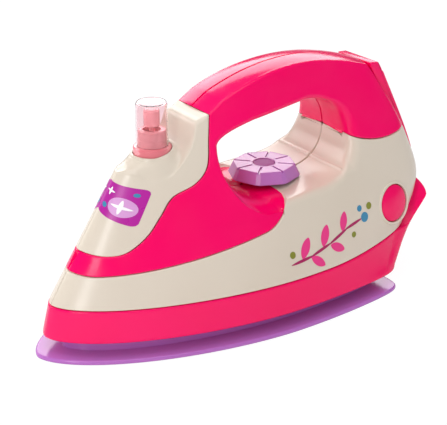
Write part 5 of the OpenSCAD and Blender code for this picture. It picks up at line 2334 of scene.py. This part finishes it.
@dataclass(frozen=True)
class Prints:
    """A plain sticker on the nose and a sprig of leaves and berries printed on each side.

    A leaf is given by its middle, length, width and turn in degrees, a disc by its middle and
    width. The sticker's own motifs are given for one half, from the sticker's middle.
    """

    proud: float = 0.06
    weld: float = 0.001
    rings: int = 6
    spokes: int = 40
    leaf_power: float = 0.4
    half_width: float = 15.0
    height: float = 17.0
    corner: float = 1.8
    field_rows: tuple[int, int] = (91, 25)
    middle_span: Pair = (69.0, 81.0)
    end_span: Pair = (61.0, 77.0)
    station_span: Pair = (0.185, 0.207)
    ahead: Triple = (-1.0, 0.0, 0.3)
    sticker_discs: Triples = ((9.4, -1.6, 9.0),)
    sparkles: tuple[tuple[float, ...], ...] = ((9.4, -1.6, 7.0, 1.5), (3.6, 4.2, 4.4, 1.1))
    sparkle_turns: Pair = (0.0, 90.0)
    sticker_dots: Triples = ((3.4, -3.8, 2.6), (12.2, 5.4, 1.8))
    stem: tuple[tuple[float, ...], ...] = (
        (30.0, 33.6, 15.0, 1.5, 6.0), (42.0, 35.8, 15.0, 1.5, 14.0), (54.0, 39.4, 15.0, 1.5, 20.0),
        (65.0, 42.8, 13.0, 1.5, 12.0),
    )
    leaves: tuple[tuple[float, ...], ...] = (
        (32.6, 38.8, 10.6, 5.0, 58.0), (39.2, 31.0, 9.6, 4.4, -36.0), (45.6, 41.8, 10.6, 5.0, 66.0),
        (52.6, 34.4, 9.6, 4.4, -26.0), (58.6, 45.6, 9.6, 4.6, 72.0),
    )
    berries: Triples = ((73.0, 44.2, 5.0), (70.2, 49.2, 3.2))
    dots: Triples = ((76.8, 49.0, 3.6), (64.4, 37.6, 3.0), (24.4, 37.4, 3.4))

    def polar(self) -> tuple[Array, Array]:
        """Angles and shares of the radius of a motif's polar grid."""
        return around(self.spokes), shares(self.rings)[:, None]

    def leaf(self, x: float, z: float, length: float, width: float, turn: float) -> Array:
        """A leaf on a polar grid.

        Args:
            x: Place of its middle.
            z: Height of its middle.
            length: Its length.
            width: Its width.
            turn: Its turn in degrees.

        Returns:
            Rows of flat points.
        """
        u, r = self.polar()
        along = length / 2 * np.cos(u) * r
        across = width / 2 * np.sin(u) * np.abs(np.sin(u)) ** self.leaf_power * r
        c, s = math.cos(math.radians(turn)), math.sin(math.radians(turn))
        return spots(x + along * c - across * s, z + along * s + across * c)

    def disc(self, x: float, z: float, width: float) -> Array:
        """A disc on a polar grid, by its middle and its width."""
        u, share = self.polar()
        return spots(x + width / 2 * share * np.cos(u), z + width / 2 * share * np.sin(u))

    def on_side(self, motif: Array, side: Side) -> Array:
        """A flat motif laid on a side, by x and z."""
        return FORM.side(motif, -self.proud) * side.turn

    def on_nose(self, motif: Array, layer: int) -> Array:
        """A flat motif laid over the nose's ridge.

        Args:
            motif: Points by distance across and up from the sticker's middle.
            layer: How many layers of print it lies on top of, itself included.

        Returns:
            Rows of points.
        """
        across, up = motif[..., 0] / self.half_width, 0.5 + motif[..., 1] / self.height
        z = mix(mix(*self.middle_span, up), mix(*self.end_span, up), np.abs(across))
        station = mix(*self.station_span, up) * across**2
        x, half = FORM.level(station, z, -self.proud * layer)
        return spots(x, np.sign(across) * half, z)

    def lay(
        self, name: str, skins: Sequence[Array], finish: Finish, out: Triple, loop: bool = True
    ) -> None:
        """Makes one piece of print.

        Args:
            name: Name of the piece.
            skins: Grids of points.
            finish: Its colour.
            out: A direction that its faces look toward.
            loop: Whether the grids close on themselves.
        """
        shape = gathered([surface(skin, False, loop) for skin in skins])
        piece = build_mesh(name, *shape, self.weld, False)
        normals = np.empty(3 * len(piece.data.polygons), np.float32)
        piece.data.polygons.foreach_get("normal", normals)
        if normals.reshape(-1, 3).sum(0) @ np.array(out) < 0:
            piece.data.flip_normals()
        dress(piece, finish, Body.HOUSING, "cream_plastic")

    def field(self) -> Array:
        """The sticker's flat field, a strip with rounded corners."""
        rows, columns = self.field_rows
        along = np.linspace(-self.half_width, self.half_width, rows)
        x, v = np.meshgrid(along, np.linspace(-1.0, 1.0, columns), indexing="ij")
        past = (np.abs(x) - (self.half_width - self.corner)) / self.corner
        fall = self.corner * (1.0 - np.sqrt(1.0 - np.clip(past, 0.0, 1.0) ** 2))
        return spots(x, v * (self.height / 2 - fall))

    def sticker(self) -> None:
        """Lays the sticker: a plum field with rounded corners, lilac discs, sparkles and dots."""
        self.lay("sticker_field", [self.on_nose(self.field(), 1)], PRINT_PLUM, self.ahead, False)
        both = (-1.0, 1.0)
        discs = [self.disc(x * s, z, d) for s in both for x, z, d in self.sticker_discs]
        dots = [self.disc(x * s, z, d) for s in both for x, z, d in self.sticker_dots]
        stars = [
            self.leaf(x * s, z, length, width, turn)
            for x, z, length, width in self.sparkles for s in both for turn in self.sparkle_turns
        ]
        layered = [self.on_nose(motif, 3 + k % 2) for k, motif in enumerate(stars)]
        discs, dots = ([self.on_nose(motif, 2) for motif in kind] for kind in (discs, dots))
        self.lay("sticker_discs", discs, PRINT_LILAC, self.ahead)
        self.lay("sticker_sparkles", layered, PRINT_WHITE, self.ahead)
        self.lay("sticker_dots", dots, PRINT_TEAL, self.ahead)

    def build(self) -> None:
        """Lays the sticker and prints both sides."""
        self.sticker()
        for side in Side:
            for label, shape, spots, finish in (
                ("stem", self.leaf, self.stem, PRINT_MAGENTA),
                ("leaves", self.leaf, self.leaves, PRINT_ROSE),
                ("berries", self.disc, self.berries, PRINT_TEAL),
                ("dots", self.disc, self.dots, PRINT_OLIVE),
            ):
                skins = [self.on_side(shape(*spot), side) for spot in spots]
                self.lay(f"print_{label}_{side.label}", skins, finish, (0.0, side.value, 0.0))


@dataclass(frozen=True)
class InnerParts:
    """CAD nodes that stay as they are and get a finish."""

    finishes: tuple[tuple[str, Finish], ...] = (
        ("base_plate", PINK), ("battery_tray", WHITE), ("cells", JACKET), ("contact_plates", STEEL),
        ("dial_retainer", STEEL), ("dial_screw", STEEL), ("pump_body", WHITE),
        ("pump_spring", STEEL), ("dip_tube", WHITE), ("switches", DARK), ("circuit_board", BOARD),
        ("speaker", DARK),
    )

    def build(self) -> None:
        """Gives each node its finish."""
        for node, finish in self.finishes:
            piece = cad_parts[node]
            made = finish.material()
            if not piece.material_slots:
                piece.data.materials.append(made)
            for held in piece.material_slots:
                held.material = made
            LOG.info("%s keeps its CAD shape", node)


@dataclass(frozen=True)
class SoftBox:
    """A rectangular lamp that faces a point. Lengths are in metres and the power in watts."""

    name: str
    place: Triple
    aim: Triple
    size: Pair
    power: float
    diffuse: bool = True
    glossy: bool = True

    def build(self) -> None:
        """Hangs the lamp."""
        data = bpy.data.lights.new(self.name, "AREA")
        data.shape = "RECTANGLE"
        data.size, data.size_y = self.size
        data.energy = self.power
        lamp = bpy.data.objects.new(self.name, data)
        bpy.context.scene.collection.objects.link(lamp)
        lamp.location = self.place
        x, y, z = np.array(self.aim) - np.array(self.place)
        yaw, pitch = math.atan2(y, x) - QUARTER, math.atan2(z, math.hypot(x, y))
        lamp.rotation_euler = (QUARTER + pitch, 0.0, yaw)
        lamp.visible_diffuse = self.diffuse
        lamp.visible_glossy = self.glossy


@dataclass(frozen=True)
class Studio:
    """Pale floor, white surroundings, soft lamps and the camera."""

    azimuth: float = math.radians(-34.0)
    elevation: float = math.radians(23.4)
    distance: float = 0.57846
    target: Triple = (-0.000653, -0.01698, 0.05785)
    focal: float = 1200.0
    frame_width: float = 447.0
    sensor: float = 36.0
    clip_start: float = 0.01
    sky: Triple = (0.95, 0.96, 1.0)
    fill: float = 0.64
    room: float = 0.1
    floor_reach: float = 4000.0
    floor_grey: float = 0.9
    floor_glow: float = 1.05
    floor_mix: float = 0.9
    lamps: tuple[SoftBox, ...] = (
        SoftBox("overhead box", (-0.1, -0.1, 0.95), (0.0, 0.0, 0.05), (0.7, 0.7), 2.3),
        SoftBox("back sheen", (0.5, 0.75, 0.62), (0.0, 0.0, 0.08), (1.4, 0.55), 10.0, False),
        SoftBox("back box", (0.5, 0.75, 0.62), (0.0, 0.0, 0.08), (1.4, 0.55), 4.0, glossy=False),
        SoftBox("front left box", (-0.75, -0.45, 0.45), (-0.02, 0.0, 0.05), (0.16, 0.7), 2.2),
        SoftBox("front right box", (-0.55, 0.6, 0.5), (0.05, 0.0, 0.07), (0.5, 0.5), 2.2),
    )

    def camera(self) -> None:
        """Places the camera at the picture's angle."""
        a, e = self.azimuth, self.elevation
        back = np.array([math.sin(a) * math.cos(e), -math.cos(a) * math.cos(e), math.sin(e)])
        data = bpy.data.cameras.new("camera")
        data.sensor_fit = "HORIZONTAL"
        data.sensor_width = self.sensor
        data.lens = self.sensor * self.focal / self.frame_width
        data.clip_start = self.clip_start
        seen = bpy.data.objects.new("camera", data)
        bpy.context.scene.collection.objects.link(seen)
        seen.location = np.array(self.target) + self.distance * back
        seen.rotation_euler = (QUARTER - e, 0.0, a)
        bpy.context.scene.camera = seen

    def seen(self, tree: Tree, ray: str) -> Socket:
        """A mask of one kind of ray."""
        return tree.nodes.new("ShaderNodeLightPath").outputs[ray]

    def surroundings(self) -> None:
        """Sets the world: white where looked at or through to, dim in reflections, else a fill."""
        world = bpy.data.worlds.new("surroundings")
        bpy.context.scene.world = world
        world.use_nodes = True
        tree = world.node_tree
        tree.nodes.clear()
        last = tree.nodes.new("ShaderNodeBackground").outputs["Background"]
        last.node.inputs["Color"].default_value = (*self.sky, 1.0)
        last.node.inputs["Strength"].default_value = self.fill
        for ray, strength in (
            ("Is Glossy Ray", self.room), ("Is Transmission Ray", 1.0), ("Is Camera Ray", 1.0),
        ):
            light = tree.nodes.new("ShaderNodeBackground")
            light.inputs["Color"].default_value = (1.0, 1.0, 1.0, 1.0)
            light.inputs["Strength"].default_value = strength
            blend = tree.nodes.new("ShaderNodeMixShader")
            tree.links.new(self.seen(tree, ray), blend.inputs["Fac"])
            tree.links.new(last, blend.inputs[1])
            tree.links.new(light.outputs["Background"], blend.inputs[2])
            last = blend.outputs["Shader"]
        result = tree.nodes.new("ShaderNodeOutputWorld")
        tree.links.new(last, result.inputs["Surface"])

    def floor(self) -> None:
        """Lays the floor: a pale flat sheet that holds a faint shadow."""
        t = np.linspace(-self.floor_reach, self.floor_reach, 3)
        grid = spots(*np.meshgrid(t, t), 0.0)
        sheet = build_mesh("floor", *surface(grid, False, False))
        made = bpy.data.materials.new("pale sheet")
        made.use_nodes = True
        tree = made.node_tree
        shader = tree.nodes["Principled BSDF"]
        shader.inputs["Base Color"].default_value = (*(self.floor_grey,) * 3, 1.0)
        shader.inputs["Roughness"].default_value = 0.9
        shader.inputs["Specular IOR Level"].default_value = 0.0
        bright = tree.nodes.new("ShaderNodeEmission")
        bright.inputs["Strength"].default_value = self.floor_glow
        blend = tree.nodes.new("ShaderNodeMixShader")
        soften = tree.nodes.new("ShaderNodeMath")
        soften.operation = "MULTIPLY"
        soften.inputs[1].default_value = self.floor_mix
        tree.links.new(self.seen(tree, "Is Camera Ray"), soften.inputs[0])
        tree.links.new(soften.outputs["Value"], blend.inputs["Fac"])
        tree.links.new(shader.outputs["BSDF"], blend.inputs[1])
        tree.links.new(bright.outputs["Emission"], blend.inputs[2])
        tree.links.new(blend.outputs["Shader"], tree.nodes["Material Output"].inputs["Surface"])
        sheet.data.materials.append(made)

    def build(self) -> None:
        """Builds the whole studio."""
        self.camera()
        self.surroundings()
        self.floor()
        for lamp in self.lamps:
            lamp.build()
        bpy.context.scene.view_settings.view_transform = "Standard"


def main() -> None:
    """Builds the studio and every sub-assembly."""
    logging.basicConfig(level=logging.INFO, format="%(name)s: %(message)s")
    Studio().build()
    skirt = Skirt()
    skirt.build()
    SidePanels().build(skirt)
    HandleGrip().build()
    NoseCover().build()
    Soleplate().build()
    Dial().build()
    Sprayer().build()
    BUTTONS.build()
    door = BatteryDoor()
    door.build()
    CrossScrews().build(door)
    Prints().build()
    InnerParts().build()


if __name__ == "__main__":
    main()
